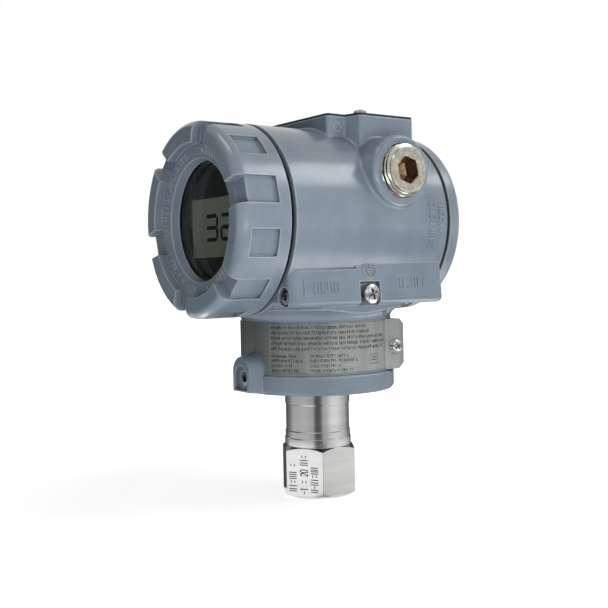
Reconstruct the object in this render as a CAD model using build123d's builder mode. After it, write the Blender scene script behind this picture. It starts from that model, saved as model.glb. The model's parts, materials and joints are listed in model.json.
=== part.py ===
from build123d import *
import os
from math import cos, radians, sin, sqrt, tan

# Lengths in millimetres. Z rises along the process connection from the bottom face of its
# hexagon. The barrel lies along Y with the display facing -Y. The plugged entry faces +X.

os.makedirs("parts", exist_ok=True)

# Process connection
hex_flats = 30.0
hex_turn = 30.7
hex_height = 21.8
hex_chamfer = 1.5
collar_r = 14.6
collar_height = 3.4
shank_r = 14.0
shank_land_r = 14.3
low_land_height = 3.0
high_land_height = 7.1
shank_length = 22.2
tap_r = 9.25
tap_depth = 17.0
port_r = 3.0

# Sensor, carried by the process connection
sensor_body_r = 25.95
sensor_body_height = 15.0
sensor_turn_clearance = 0.05
diaphragm_r = 9.0
diaphragm_thickness = 0.3
diaphragm_gap = 0.6
cell_r = 9.5
cell_height = 7.0
header_pin_r = 0.5
header_pin_circle = 5.5
header_pin_length = 4.0
header_pin_count = 6
neck_seal_rise = 9.6
neck_seal_width = 2.4
neck_seal_depth = 1.6
lead_r = 1.6
lead_plug_r = 3.0
lead_plug_height = 5.0

# Neck and ring of the housing
neck_r = 32.9
ring_r = 34.1
ring_below_sensor = 0.6
ring_height = 8.2
ring_round = 2.0
neck_cavity_r = 22.0
neck_height = 36.9
neck_roof_thickness = 2.7
sensor_stop_gap = 0.3

# Barrel
barrel_above_shelf = 35.8
barrel_front_y = -37.1
barrel_rear_y = 44.0
barrel_front_r = 40.3
barrel_rear_r = 39.4
front_thread_r = 35.0
front_thread_depth = 13.0
front_bore_r = 34.0
partition_front_y = -1.5
partition_rear_y = 4.2
rear_thread_r = 34.5
rear_thread_depth = 12.5
rear_bore_r = 33.5
cover_turn_clearance = 0.06

# Shelf under the barrel
shelf_half_width = 36.5
ledge_height = 15.1
ledge_end_y = -4.6
shelf_corner_r = 3.6
shelf_edge_r = 2.4
shelf_draft = 5.0
ledge_round = 0.6
flare_height = 6.2
flare_pad_r = 39.6
flare_pad_drop = 1.4

# Block on top
block_above_entry = 24.45
block_front_y = -6.3
block_step_y = 3.0
block_step_run = 2.2
block_rear_y = 34.8
block_narrow_half = 19.7
block_wide_half = 27.3
block_draft = 0.5
block_corner_r = 1.3
join_round = 1.3

# Cable entries
entry_y = 15.2
entry_rise = 19.5
entry_face_x = 42.4
entry_boss_r = 15.0
entry_boss_round = 2.0
entry_thread_r = 10.3
entry_relief_r = 11.35
entry_relief_depth = 1.4
entry_thread_length = 14.0
entry_inner_r = 9.2

# Entry plug
plug_stand_out = 3.8
plug_length = 15.5
plug_fit = 0.02
plug_face_r = 9.4
plug_socket_flats = 10.0
plug_socket_depth = 7.5

# Lug and lock screw on the neck
lug_half_width = 6.65
lug_front_y = -39.5
lug_rise = 1.1
lug_height = 14.9
lug_recess_half = 4.8
lug_recess_top_edge = 3.9
lug_recess_bottom_edge = 0.8
lug_recess_depth = 1.8
lug_plate_gap = 1.6
lug_draft = 6.0
lug_edge_round = 0.9
lug_root = 8.0
neck_lock_rise = 5.5
neck_lock_r = 2.9
neck_lock_front_y = -37.6
neck_lock_flats = 3.0

# Cover lock screws in the shelf ends
cover_lock_x = 29.9
cover_lock_rise = 4.2
cover_lock_recess_r = 3.9
cover_lock_recess_depth = 2.6
cover_lock_r = 2.9
cover_lock_length = 9.0
cover_lock_sunk = 0.9
cover_lock_flats = 2.5

# Earth terminal on the shelf
earth_y = 2.3
earth_screw_rise = 4.6
earth_recess_width = 10.5
earth_recess_height = 9.7
earth_recess_depth = 3.4
earth_clamp_size = 8.8
earth_clamp_thickness = 1.3
earth_spring_r = 3.9
earth_spring_thickness = 1.1
earth_head_r = 4.1
earth_head_height = 2.7
earth_shank_r = 2.0
earth_shank_length = 9.0
earth_mark_r = 3.6
earth_mark_rise = 14.3
earth_mark_height = 0.5

# Nameplate
plate_above_ring = 0.8
plate_below_flare = 0.5
plate_thickness = 0.5
plate_corner = 2.2
pad_bend_y = 15.0
pad_end_y = 25.2
pad_below = 0.4
plate_screw_y = 20.6
plate_screw_rise = 9.4
plate_screw_head_r = 2.8
plate_screw_head_height = 2.1
plate_screw_r = 1.5
plate_screw_length = 6.0

# Display cover
cover_r = 40.1
cover_seal_gap = 2.3
cover_front_y = -62.4
cover_round_y = -58.3
cover_rim_outer_r = 36.4
cover_rim_inner_r = 31.2
dish_y = -58.4
lip_y = -57.4
lip_r = 25.1
window_r = 24.5
seat_y = -53.4
glass_r = 28.0
glass_thickness = 6.0
glass_play = 0.15
window_gasket_thickness = 0.5
retainer_r = 29.4
retainer_inner_r = 25.2
retainer_thickness = 3.0
retainer_play = 0.05
cover_inner_r = 31.4
cover_spigot_length = 11.2
pocket_count = 12
notch_count = 6
pocket_turn = 15.0
pocket_width = 10.8
pocket_rear_y = -44.6
pocket_front_y = -57.2
pocket_floor_r = 38.5
notch_floor_y = -58.0
notch_floor_r = 30.6

# Rear cover
rear_gap = 0.9
rear_cover_r = 39.4
rear_face_y = 51.8
rear_round = 3.0
rear_spigot_length = 10.8
rear_inner_r = 31.0
rear_wall = 4.5
rear_lug_count = 6
rear_lug_height = 4.0
rear_lug_inner_r = 17.0
rear_lug_outer_r = 27.0
rear_lug_width = 9.0

# Face seals of the two covers
front_seal_outer_r = 38.9
front_seal_width = 2.3
rear_seal_outer_r = 38.2
rear_seal_width = 2.2
seal_play = 0.05

# Display and electronics
bezel_face_r = 24.3
bezel_shoulder_r = 30.4
bezel_glass_gap = 0.5
bezel_face_height = 3.2
bezel_depth = 10.0
lcd_width = 39.2
lcd_height = 24.6
lcd_centre_drop = 2.6
lcd_thickness = 2.0
lcd_sunk = 0.15
display_board_r = 29.6
board_thickness = 1.6
standoff_circle_r = 25.5
standoff_r = 2.6
standoff_turn = 45.0
display_screw_circle_r = 27.6
display_screw_head_r = 1.9
display_screw_head_height = 1.6
display_screw_r = 1.1
main_board_y = -24.0
main_board_inset = 1.6
case_gap = 1.4
connector_size = (16.0, 5.0, 6.0)
connector_x = -6.0
connector_z_drop = 14.0
case_screw_inset = 4.6
case_screw_head_r = 2.4
case_screw_head_height = 2.0
case_screw_r = 1.4
case_screw_length = 26.0

# Feed-through between neck and electronics
feed_disc_r = 18.0
feed_disc_thickness = 4.0
feed_hole_y = -8.5
feed_hole_r = 4.5
feed_stem_r = 4.4
feed_stem_drop = 27.5
feed_socket_r = 3.3
feed_socket_depth = 2.0
lead_plug_gap = 0.3

# Terminals
terminal_width = 42.0
terminal_block_height = 20.0
terminal_depth = 15.0
terminal_drop = 11.5
terminal_count = 3
terminal_pitch = 13.0
terminal_slot_width = 10.4
terminal_slot_depth = 4.5
clamp_size = 8.6
clamp_thickness = 1.2
terminal_head_r = 3.5
terminal_head_height = 2.4
terminal_shank_r = 1.7
terminal_shank_length = 8.0
inner_earth_x = -18.0
inner_earth_rise = 14.5
inner_earth_head_r = 4.0
inner_earth_head_height = 2.6
inner_earth_shank_r = 2.0
inner_earth_shank_length = 4.0
inner_earth_washer_r = 4.6
inner_earth_washer_thickness = 1.0

# Cover plate and buttons on the block
key_inset = 0.2
key_gasket_thickness = 0.3
key_play = 0.05
key_plate_thickness = 0.6
key_screw_x = 21.3
key_screw_y = 10.0
key_screw_head_r = 2.8
key_screw_head_height = 2.2
key_screw_r = 1.5
key_screw_length = 9.0
key_screw_fit = 0.1
button_x = 9.5
button_y = 9.0
button_r = 3.4
button_fit = 0.1
button_floor_wall = 2.1
button_sunk = 0.3
button_travel = 1.5
spring_outer_r = 2.6
spring_inner_r = 1.9
spring_height = 2.2
spring_room = 0.3
gasket_hole_r = 4.2
cross_width = 0.9
cross_depth = 1.0

# Places worked out from the sizes above
collar_top = hex_height + collar_height
low_land_top = collar_top + low_land_height
sensor_body_bottom = collar_top + shank_length
high_land_bottom = sensor_body_bottom - high_land_height
neck_seal_z = sensor_body_bottom + neck_seal_rise
ring_bottom = sensor_body_bottom - ring_below_sensor
ring_top = ring_bottom + ring_height
shelf_bottom_z = ring_bottom + neck_height
neck_ceiling_z = shelf_bottom_z - neck_roof_thickness
ledge_z = shelf_bottom_z + ledge_height
flare_start_z = shelf_bottom_z - flare_height
flare_pad_z = shelf_bottom_z - flare_pad_drop
barrel_z = shelf_bottom_z + barrel_above_shelf
shelf_waist_z = (ledge_z + barrel_z) / 2
shelf_waist_half = shelf_half_width - (shelf_waist_z - shelf_bottom_z) * tan(radians(shelf_draft))
entry_z = barrel_z + entry_rise
block_top_z = entry_z + block_above_entry
lug_bottom_z = ring_bottom + lug_rise
lug_top_z = lug_bottom_z + lug_height
lug_recess_top_z = lug_top_z - lug_recess_top_edge
lug_recess_bottom_z = lug_bottom_z + lug_recess_bottom_edge
neck_lock_z = lug_bottom_z + neck_lock_rise
cover_lock_z = shelf_bottom_z + cover_lock_rise
earth_screw_z = shelf_bottom_z + earth_screw_rise
earth_recess_top_z = shelf_bottom_z + earth_recess_height
earth_mark_z = shelf_bottom_z + earth_mark_rise
plate_bottom_z = ring_top + plate_above_ring
plate_height = flare_start_z - plate_below_flare - plate_bottom_z
plate_screw_z = plate_bottom_z + plate_screw_rise
feed_stem_top_z = barrel_z - feed_stem_drop
terminal_z = barrel_z - terminal_drop
inner_earth_z = barrel_z + inner_earth_rise
block_roof = block_top_z - barrel_z - rear_bore_r
button_length = block_roof - button_sunk - button_travel - spring_room - spring_height - button_floor_wall
barrel_axis = Axis((0, 0, barrel_z), (0, 1, 0))
barrel_plan = Plane.XY.offset(barrel_z)
cover_rear_y = barrel_front_y - cover_seal_gap
front_spigot_r = front_thread_r - cover_turn_clearance
rear_cover_y = barrel_rear_y + rear_gap
rear_spigot_r = rear_thread_r - cover_turn_clearance
glass_front_y = seat_y + window_gasket_thickness
glass_rear_y = glass_front_y + glass_thickness
retainer_rear_y = glass_rear_y + retainer_thickness
bezel_front_y = glass_rear_y + bezel_glass_gap
bezel_rear_y = bezel_front_y + bezel_depth
display_board_rear_y = bezel_rear_y + board_thickness
main_board_rear_y = main_board_y + board_thickness
case_r = front_bore_r - case_gap
case_screw_circle_r = case_r - case_screw_inset
main_board_r = case_r - main_board_inset
sensor_body_top = sensor_body_bottom + sensor_body_height
diaphragm_z = sensor_body_top - cell_height
hex_corner_r = hex_flats / sqrt(3)
pad_x = sqrt(neck_r ** 2 - pad_bend_y ** 2)
plate_face_x = pad_x + plate_thickness
plate_top_z = plate_bottom_z + plate_height
earth_floor_x = shelf_half_width - earth_recess_depth
terminal_face_y = partition_rear_y + terminal_depth
terminal_floor_y = terminal_face_y - terminal_slot_depth
key_gasket_z = block_top_z
key_plate_z = key_gasket_z + key_gasket_thickness + key_play
key_plate_top = key_plate_z + key_plate_thickness
button_bore_r = button_r + button_fit
button_top_z = block_top_z - button_sunk
button_bottom_z = button_top_z - button_length
button_floor_z = button_bottom_z - button_travel - spring_room - spring_height
plug_face_x = entry_face_x + plug_stand_out


def barrel_face(y):
    return Plane(origin=(0, y, barrel_z), x_dir=(1, 0, 0), z_dir=(0, -1, 0))


def rear_barrel_face(y):
    return Plane(origin=(0, y, barrel_z), x_dir=(-1, 0, 0), z_dir=(0, 1, 0))


block_outline = [
    (-block_wide_half, block_front_y),
    (block_narrow_half, block_front_y),
    (block_narrow_half - block_draft, block_step_y),
    (block_wide_half, block_step_y + block_step_run),
    (block_wide_half, block_rear_y),
    (-block_wide_half, block_rear_y),
]


# Process connection: hexagon, collar and shank turned from one bar, tapped from below

with BuildPart() as process_connection:
    with BuildSketch(Plane.XY):
        RegularPolygon(hex_flats / 2, 6, major_radius=False, rotation=hex_turn)
    extrude(amount=hex_height)
    with BuildSketch(Plane.XZ):
        with BuildLine():
            Polyline(
                (0, 0),
                (hex_flats / 2 - 0.1, 0),
                (hex_corner_r + 0.1, hex_chamfer),
                (hex_corner_r + 0.1, hex_height - hex_chamfer),
                (hex_flats / 2 - 0.1, hex_height),
                (0, hex_height),
                close=True,
            )
        make_face()
    revolve(axis=Axis.Z, mode=Mode.INTERSECT)
    with BuildSketch(Plane.XZ):
        with BuildLine():
            Polyline(
                (0, hex_height - 1),
                (hex_flats / 2 - 0.5, hex_height - 1),
                (hex_flats / 2 - 0.5, hex_height),
                (collar_r, hex_height),
                (collar_r, collar_top),
                (shank_land_r, collar_top + collar_r - shank_land_r),
                (shank_land_r, low_land_top),
                (shank_r, low_land_top + 0.4),
                (shank_r, high_land_bottom - 0.3),
                (shank_land_r, high_land_bottom),
                (shank_land_r, sensor_body_bottom),
                (0, sensor_body_bottom),
                close=True,
            )
        make_face()
    revolve(axis=Axis.Z)
    with BuildSketch(Plane.XZ):
        with BuildLine():
            Polyline(
                (0, 0),
                (tap_r, 0),
                (tap_r, tap_depth),
                (port_r, tap_depth + tap_r * 0.5),
                (port_r, sensor_body_bottom),
                (0, sensor_body_bottom),
                close=True,
            )
        make_face()
    revolve(axis=Axis.Z, mode=Mode.SUBTRACT)

process_connection.part.label = "process_connection"
export_step(process_connection.part, "parts/process_connection.step")


# Sensor body: threaded plug of the neck with a seal groove and the pressure chamber

with BuildPart() as sensor_body:
    with BuildSketch(Plane.XY.offset(sensor_body_bottom)):
        Circle(sensor_body_r)
    extrude(amount=sensor_body_height)
    with BuildSketch(Plane.XY.offset(neck_seal_z)):
        Circle(sensor_body_r + 1)
        Circle(sensor_body_r - neck_seal_depth, mode=Mode.SUBTRACT)
    extrude(amount=neck_seal_width, mode=Mode.SUBTRACT)
    with BuildSketch(Plane.XY.offset(sensor_body_top)):
        Circle(cell_r)
    extrude(amount=-cell_height, mode=Mode.SUBTRACT)
    with BuildSketch(Plane.XY.offset(diaphragm_z)):
        Circle(diaphragm_r - 1.5)
    extrude(amount=-diaphragm_gap, mode=Mode.SUBTRACT)
    with BuildSketch(Plane.XY.offset(sensor_body_bottom)):
        Circle(port_r)
    extrude(amount=sensor_body_height, mode=Mode.SUBTRACT)
    chamfer(sensor_body.edges().group_by(Axis.Z)[-1].sort_by(SortBy.RADIUS)[-1], 0.8)

sensor_body.part.label = "sensor_body"
export_step(sensor_body.part, "parts/sensor_body.step")

with BuildPart() as isolating_diaphragm:
    with BuildSketch(Plane.XY.offset(diaphragm_z)):
        Circle(diaphragm_r)
    extrude(amount=diaphragm_thickness)

isolating_diaphragm.part.label = "isolating_diaphragm"
export_step(isolating_diaphragm.part, "parts/isolating_diaphragm.step")

with BuildPart() as sensor_cell:
    with BuildSketch(Plane.XY.offset(diaphragm_z + diaphragm_thickness)):
        Circle(cell_r - 0.02)
    extrude(amount=cell_height - diaphragm_thickness)
    with BuildSketch(Plane.XY.offset(sensor_body_top)):
        Circle(cell_r - 2)
    extrude(amount=1.2)

sensor_cell.part.label = "sensor_cell"
export_step(sensor_cell.part, "parts/sensor_cell.step")

with BuildPart() as header_pins:
    with BuildSketch(Plane.XY.offset(sensor_body_top + 1.2)):
        with PolarLocations(header_pin_circle, header_pin_count):
            Circle(header_pin_r)
    extrude(amount=header_pin_length)

header_pins.part.label = "header_pins"
export_step(header_pins.part, "parts/header_pins.step")

with BuildPart() as neck_seal:
    with BuildSketch(Plane.XY.offset(neck_seal_z + 0.1)):
        Circle(sensor_body_r - 0.05)
        Circle(sensor_body_r - neck_seal_depth, mode=Mode.SUBTRACT)
    extrude(amount=neck_seal_width - 0.2)
    fillet(neck_seal.edges(), 0.5)

neck_seal.part.label = "neck_seal"
export_step(neck_seal.part, "parts/neck_seal.step")

lead_top_z = neck_ceiling_z - feed_disc_thickness + feed_socket_depth - lead_plug_gap

with BuildPart() as sensor_lead:
    with BuildSketch(Plane.XY.offset(sensor_body_top + 1.2)):
        Circle(lead_r)
    extrude(amount=lead_top_z - sensor_body_top - 1.2)
    with BuildSketch(Plane.XY.offset(lead_top_z - lead_plug_height)):
        Circle(lead_plug_r)
    extrude(amount=lead_plug_height)

sensor_lead.part.label = "sensor_lead"
export_step(sensor_lead.part, "parts/sensor_lead.step")


# Flare from the neck into the underside of the shelf, trimmed to the plan of the shelf

shelf_length = barrel_rear_y - barrel_front_y
shelf_mid_y = (barrel_rear_y + barrel_front_y) / 2

with BuildPart() as neck_flare:
    with BuildSketch(Plane.XZ):
        with BuildLine():
            Line((0, flare_start_z), (neck_r, flare_start_z))
            Spline(
                (neck_r, flare_start_z),
                (neck_r + 1.7, flare_pad_z - 1.6),
                (flare_pad_r, flare_pad_z),
                tangents=((0, 1), (1, 0.15)),
            )
            Line((flare_pad_r, flare_pad_z), (flare_pad_r, shelf_bottom_z + 4))
            Line((flare_pad_r, shelf_bottom_z + 4), (0, shelf_bottom_z + 4))
            Line((0, shelf_bottom_z + 4), (0, flare_start_z))
        make_face()
    revolve(axis=Axis.Z)
    with BuildSketch(Plane.XY.offset(flare_start_z - 1)):
        with Locations((0, shelf_mid_y)):
            RectangleRounded(
                2 * (shelf_half_width - shelf_edge_r),
                shelf_length - 2 * shelf_edge_r,
                shelf_corner_r,
            )
    extrude(amount=2 * (shelf_bottom_z - flare_start_z), mode=Mode.INTERSECT)


# Shelf with its rounded lower edge

with BuildPart() as shelf:
    with BuildSketch(Plane.XZ.offset(-barrel_front_y)):
        with BuildLine():
            Polyline(
                (-shelf_half_width, shelf_bottom_z),
                (shelf_half_width, shelf_bottom_z),
                (shelf_waist_half, shelf_waist_z),
                (-shelf_waist_half, shelf_waist_z),
                close=True,
            )
        make_face()
    extrude(amount=-shelf_length)
    shelf_ends = shelf.edges().group_by(Axis.Y)
    fillet((shelf_ends[0] + shelf_ends[-1]).filter_by(Axis.X, reverse=True), shelf_corner_r)
    fillet(shelf.faces().sort_by(Axis.Z)[0].edges(), shelf_edge_r)
    with BuildSketch(Plane.XY.offset(ledge_z)):
        with Locations((0, (barrel_front_y + ledge_end_y) / 2)):
            Rectangle(4 * shelf_half_width, ledge_end_y - barrel_front_y)
    extrude(amount=shelf_waist_z - ledge_z, mode=Mode.SUBTRACT)
    ledge_lips = shelf.edges().filter_by_position(Axis.Z, ledge_z - 0.01, ledge_z + 0.01)
    fillet(ledge_lips.filter_by(Axis.Y), ledge_round)


# Barrel, block and the bosses of the cable entries, with rounded joins as cast

with BuildPart() as upper_housing:
    with BuildSketch(barrel_plan):
        with BuildLine():
            Polyline(
                (0, barrel_front_y),
                (barrel_front_r, barrel_front_y),
                (barrel_rear_r, barrel_rear_y),
                (0, barrel_rear_y),
                close=True,
            )
        make_face()
    revolve(axis=barrel_axis)
    with BuildSketch(Plane.XY.offset(barrel_z)) as block_plan:
        with BuildLine():
            Polyline(*block_outline, close=True)
        make_face()
        fillet(block_plan.vertices(), block_corner_r)
    extrude(amount=block_top_z - barrel_z)
    with BuildSketch(Plane.YZ.offset(-entry_face_x)):
        with Locations((entry_y, entry_z)):
            Circle(entry_boss_r)
    extrude(amount=2 * entry_face_x)
    join_edges = upper_housing.edges().filter_by(GeomType.LINE, reverse=True)
    join_edges = join_edges.filter_by_position(Axis.Y, barrel_front_y + 1, barrel_rear_y - 1)
    join_edges = join_edges.filter_by_position(Axis.Z, barrel_z - barrel_front_r, block_top_z - 1)
    join_edges = join_edges.filter_by_position(Axis.X, 0.5 - entry_face_x, entry_face_x - 0.5)
    fillet(join_edges, join_round)
    rim_edges = upper_housing.edges().filter_by(GeomType.CIRCLE).group_by(Axis.X)
    fillet(rim_edges[0] + rim_edges[-1], entry_boss_round)


# Flat pads behind the ends of the nameplate

with BuildPart() as plate_pads:
    with BuildSketch(Plane.XY.offset(plate_bottom_z - pad_below)):
        with Locations((0, (pad_bend_y + pad_end_y) / 2)):
            Rectangle(2 * pad_x, pad_end_y - pad_bend_y)
    extrude(amount=plate_height + pad_below)
    chamfer(plate_pads.edges().filter_by(Axis.X).group_by(Axis.Y)[-1], plate_corner)


# Lug for the neck lock screw, wider towards the neck

lug_face = Plane(origin=(0, lug_front_y, 0), x_dir=(-1, 0, 0), z_dir=(0, 1, 0))

with BuildPart() as lug:
    with BuildSketch(lug_face):
        with Locations((0, lug_top_z - lug_half_width)):
            Circle(lug_half_width)
        with Locations((0, (lug_top_z - lug_half_width + lug_bottom_z) / 2)):
            Rectangle(2 * lug_half_width, lug_top_z - lug_half_width - lug_bottom_z)
    extrude(amount=lug_root - lug_front_y - neck_r, taper=-lug_draft)
    fillet(lug.faces().sort_by(Axis.Y)[0].edges(), lug_edge_round)


# Housing casting

shelf_side = Plane(
    origin=(shelf_half_width, 0, shelf_bottom_z),
    x_dir=(0, 1, 0),
    z_dir=(cos(radians(shelf_draft)), 0, sin(radians(shelf_draft))),
)

with BuildPart() as housing:
    add(upper_housing.part)
    add(shelf.part)
    add(neck_flare.part)
    with BuildSketch(Plane.XY.offset(ring_bottom)):
        Circle(neck_r)
    extrude(amount=shelf_bottom_z + 2 - ring_bottom)
    with BuildSketch(Plane.XZ):
        with BuildLine():
            Line((0, ring_bottom), (ring_r - ring_round, ring_bottom))
            RadiusArc((ring_r - ring_round, ring_bottom), (ring_r, ring_bottom + ring_round), -ring_round)
            Line((ring_r, ring_bottom + ring_round), (ring_r, ring_top - 0.6))
            Line((ring_r, ring_top - 0.6), (ring_r - 0.6, ring_top))
            Line((ring_r - 0.6, ring_top), (0, ring_top))
            Line((0, ring_top), (0, ring_bottom))
        make_face()
    revolve(axis=Axis.Z)
    add(plate_pads.part)
    add(lug.part)
    # bored compartments
    with BuildSketch(barrel_plan):
        with BuildLine():
            Polyline(
                (0, barrel_front_y),
                (front_thread_r, barrel_front_y),
                (front_thread_r, barrel_front_y + front_thread_depth),
                (front_bore_r, barrel_front_y + front_thread_depth + 1),
                (front_bore_r, partition_front_y),
                (0, partition_front_y),
                close=True,
            )
        make_face()
    revolve(axis=barrel_axis, mode=Mode.SUBTRACT)
    with BuildSketch(barrel_plan):
        with BuildLine():
            Polyline(
                (0, partition_rear_y),
                (rear_bore_r, partition_rear_y),
                (rear_bore_r, barrel_rear_y - rear_thread_depth - 1),
                (rear_thread_r, barrel_rear_y - rear_thread_depth),
                (rear_thread_r, barrel_rear_y),
                (0, barrel_rear_y),
                close=True,
            )
        make_face()
    revolve(axis=barrel_axis, mode=Mode.SUBTRACT)
    # cable entries
    for side in (1, -1):
        with BuildSketch(Plane.YZ.offset(side * entry_face_x)):
            with Locations((entry_y, entry_z)):
                Circle(entry_relief_r)
        extrude(amount=-side * entry_relief_depth, mode=Mode.SUBTRACT)
        with BuildSketch(Plane.YZ.offset(side * entry_face_x)):
            with Locations((entry_y, entry_z)):
                Circle(entry_thread_r)
        extrude(amount=-side * (entry_relief_depth + entry_thread_length), mode=Mode.SUBTRACT)
        with BuildSketch(Plane.YZ.offset(side * entry_face_x)):
            with Locations((entry_y, entry_z)):
                Circle(entry_inner_r)
        extrude(amount=-side * (entry_face_x - rear_bore_r / 2), mode=Mode.SUBTRACT)
    # neck
    with BuildSketch(Plane.XZ):
        with BuildLine():
            Polyline(
                (0, ring_bottom),
                (sensor_body_r + sensor_turn_clearance, ring_bottom),
                (sensor_body_r + sensor_turn_clearance, sensor_body_top + sensor_stop_gap),
                (neck_cavity_r, sensor_body_top + sensor_stop_gap),
                (neck_cavity_r, neck_ceiling_z),
                (0, neck_ceiling_z),
                close=True,
            )
        make_face()
    revolve(axis=Axis.Z, mode=Mode.SUBTRACT)
    with BuildSketch(Plane.XY.offset(neck_ceiling_z - 1)):
        with Locations((0, feed_hole_y)):
            Circle(feed_hole_r)
    extrude(amount=feed_stem_top_z - neck_ceiling_z, mode=Mode.SUBTRACT)
    # lug recess and lock screw hole
    with BuildSketch(Plane.XZ.offset(-lug_front_y)):
        with Locations((0, lug_recess_top_z - lug_recess_half)):
            Circle(lug_recess_half)
        with Locations((0, (lug_recess_top_z - lug_recess_half + lug_recess_bottom_z) / 2)):
            Rectangle(
                2 * lug_recess_half,
                lug_recess_top_z - lug_recess_half - lug_recess_bottom_z,
            )
    extrude(amount=-lug_recess_depth, mode=Mode.SUBTRACT)
    with BuildSketch(Plane.XZ.offset(-lug_front_y)):
        with Locations((0, neck_lock_z)):
            Circle(neck_lock_r)
    extrude(amount=lug_front_y + sensor_body_r, mode=Mode.SUBTRACT)
    # cover lock screw pockets and holes
    with BuildSketch(Plane.XZ.offset(-barrel_front_y)):
        with Locations((cover_lock_x, cover_lock_z)):
            Circle(cover_lock_recess_r)
    extrude(amount=-cover_lock_recess_depth, mode=Mode.SUBTRACT)
    with BuildSketch(Plane.XZ.offset(-barrel_front_y)):
        with Locations((cover_lock_x, cover_lock_z)):
            Circle(cover_lock_r)
    extrude(amount=-cover_lock_sunk - cover_lock_length, mode=Mode.SUBTRACT)
    with BuildSketch(Plane.XZ.offset(-barrel_rear_y)):
        with Locations((cover_lock_x, cover_lock_z)):
            Circle(cover_lock_recess_r)
    extrude(amount=cover_lock_recess_depth, mode=Mode.SUBTRACT)
    with BuildSketch(Plane.XZ.offset(-barrel_rear_y)):
        with Locations((cover_lock_x, cover_lock_z)):
            Circle(cover_lock_r)
    extrude(amount=cover_lock_sunk + cover_lock_length, mode=Mode.SUBTRACT)
    # earth terminal pocket, hole and raised round mark
    with BuildSketch(shelf_side.offset(-earth_mark_height)):
        with Locations((earth_y, (earth_mark_z - shelf_bottom_z) / cos(radians(shelf_draft)))):
            Circle(earth_mark_r)
            Circle(earth_mark_r - 0.7, mode=Mode.SUBTRACT)
    extrude(amount=2 * earth_mark_height)
    with BuildSketch(Plane.YZ.offset(shelf_half_width)):
        with Locations((earth_y, (earth_recess_top_z + shelf_bottom_z) / 2)):
            Rectangle(earth_recess_width, earth_recess_top_z - shelf_bottom_z)
    extrude(amount=-earth_recess_depth, mode=Mode.SUBTRACT)
    with BuildSketch(Plane.YZ.offset(earth_floor_x)):
        with Locations((earth_y, earth_screw_z)):
            Circle(earth_shank_r)
    extrude(amount=-earth_shank_length, mode=Mode.SUBTRACT)
    # nameplate screw holes
    for side in (1, -1):
        with BuildSketch(Plane.YZ.offset(side * pad_x)):
            with Locations((plate_screw_y, plate_screw_z)):
                Circle(plate_screw_r)
        extrude(amount=-side * plate_screw_length, mode=Mode.SUBTRACT)
    # button bores and the hole of the cover plate screw
    with BuildSketch(Plane.XY.offset(block_top_z)):
        with Locations((-button_x, button_y), (button_x, button_y)):
            Circle(button_bore_r)
    extrude(amount=button_floor_z - block_top_z, mode=Mode.SUBTRACT)
    with BuildSketch(Plane.XY.offset(block_top_z)):
        with Locations((key_screw_x, key_screw_y)):
            Circle(key_screw_r)
    extrude(amount=-key_screw_length, mode=Mode.SUBTRACT)
    # inner earth screw hole and case screw holes in the partition
    with BuildSketch(Plane.XZ.offset(-partition_rear_y)):
        with Locations((inner_earth_x, inner_earth_z)):
            Circle(inner_earth_shank_r)
    extrude(amount=inner_earth_shank_length, mode=Mode.SUBTRACT)
    with BuildSketch(barrel_face(partition_front_y)):
        with PolarLocations(case_screw_circle_r, 2, start_angle=0):
            Circle(case_screw_r)
    extrude(amount=main_board_y + case_screw_length - partition_front_y, dir=(0, 1, 0), mode=Mode.SUBTRACT)

housing.part.label = "housing"
export_step(housing.part, "parts/housing.step")


# Display cover: turned cover with a notched rim and pockets round its side

glass_pocket_r = glass_r + glass_play
retainer_pocket_r = retainer_r + retainer_play
pocket_cut = 6 * (cover_r - pocket_floor_r)
notch_cut = 2 * (cover_r - notch_floor_r)

with BuildPart() as display_cover:
    with BuildSketch(barrel_plan):
        with BuildLine():
            Polyline(
                (front_spigot_r, cover_rear_y),
                (cover_r, cover_rear_y),
                (cover_r, cover_round_y),
            )
            Spline(
                (cover_r, cover_round_y),
                (cover_r - 1.1, cover_front_y + 1.3),
                (cover_rim_outer_r, cover_front_y),
                tangents=((0, -1), (-1, -0.1)),
            )
            Polyline(
                (cover_rim_outer_r, cover_front_y),
                (cover_rim_inner_r, cover_front_y + 0.3),
                (cover_rim_inner_r, dish_y),
                (lip_r, lip_y),
                (window_r, seat_y),
                (glass_pocket_r, seat_y),
                (glass_pocket_r, glass_rear_y),
                (retainer_pocket_r, glass_rear_y),
                (retainer_pocket_r, retainer_rear_y + 0.5),
                (cover_inner_r, retainer_rear_y + 0.5),
                (cover_inner_r, cover_rear_y + cover_spigot_length),
                (front_spigot_r, cover_rear_y + cover_spigot_length),
                (front_spigot_r, cover_rear_y),
            )
        make_face()
    revolve(axis=barrel_axis)
    with BuildSketch(barrel_face(pocket_rear_y)):
        with PolarLocations(pocket_floor_r + pocket_cut / 2, pocket_count, start_angle=pocket_turn):
            Rectangle(pocket_cut, pocket_width)
    extrude(amount=pocket_rear_y - pocket_front_y, mode=Mode.SUBTRACT)
    with BuildSketch(barrel_face(pocket_rear_y)):
        with PolarLocations(pocket_floor_r + pocket_cut / 2, notch_count, start_angle=pocket_turn):
            Rectangle(pocket_cut, pocket_width)
    extrude(amount=pocket_rear_y - notch_floor_y, mode=Mode.SUBTRACT)
    with BuildSketch(barrel_face(notch_floor_y)):
        with PolarLocations(notch_floor_r + notch_cut / 2, notch_count, start_angle=pocket_turn):
            Rectangle(notch_cut, pocket_width)
    extrude(amount=2 * (notch_floor_y - cover_front_y), mode=Mode.SUBTRACT)

display_cover.part.label = "display_cover"
export_step(display_cover.part, "parts/display_cover.step")

with BuildPart() as window_gasket:
    with BuildSketch(barrel_face(seat_y)):
        Circle(glass_r)
        Circle(window_r + 0.3, mode=Mode.SUBTRACT)
    extrude(amount=-window_gasket_thickness)

window_gasket.part.label = "window_gasket"
export_step(window_gasket.part, "parts/window_gasket.step")

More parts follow.
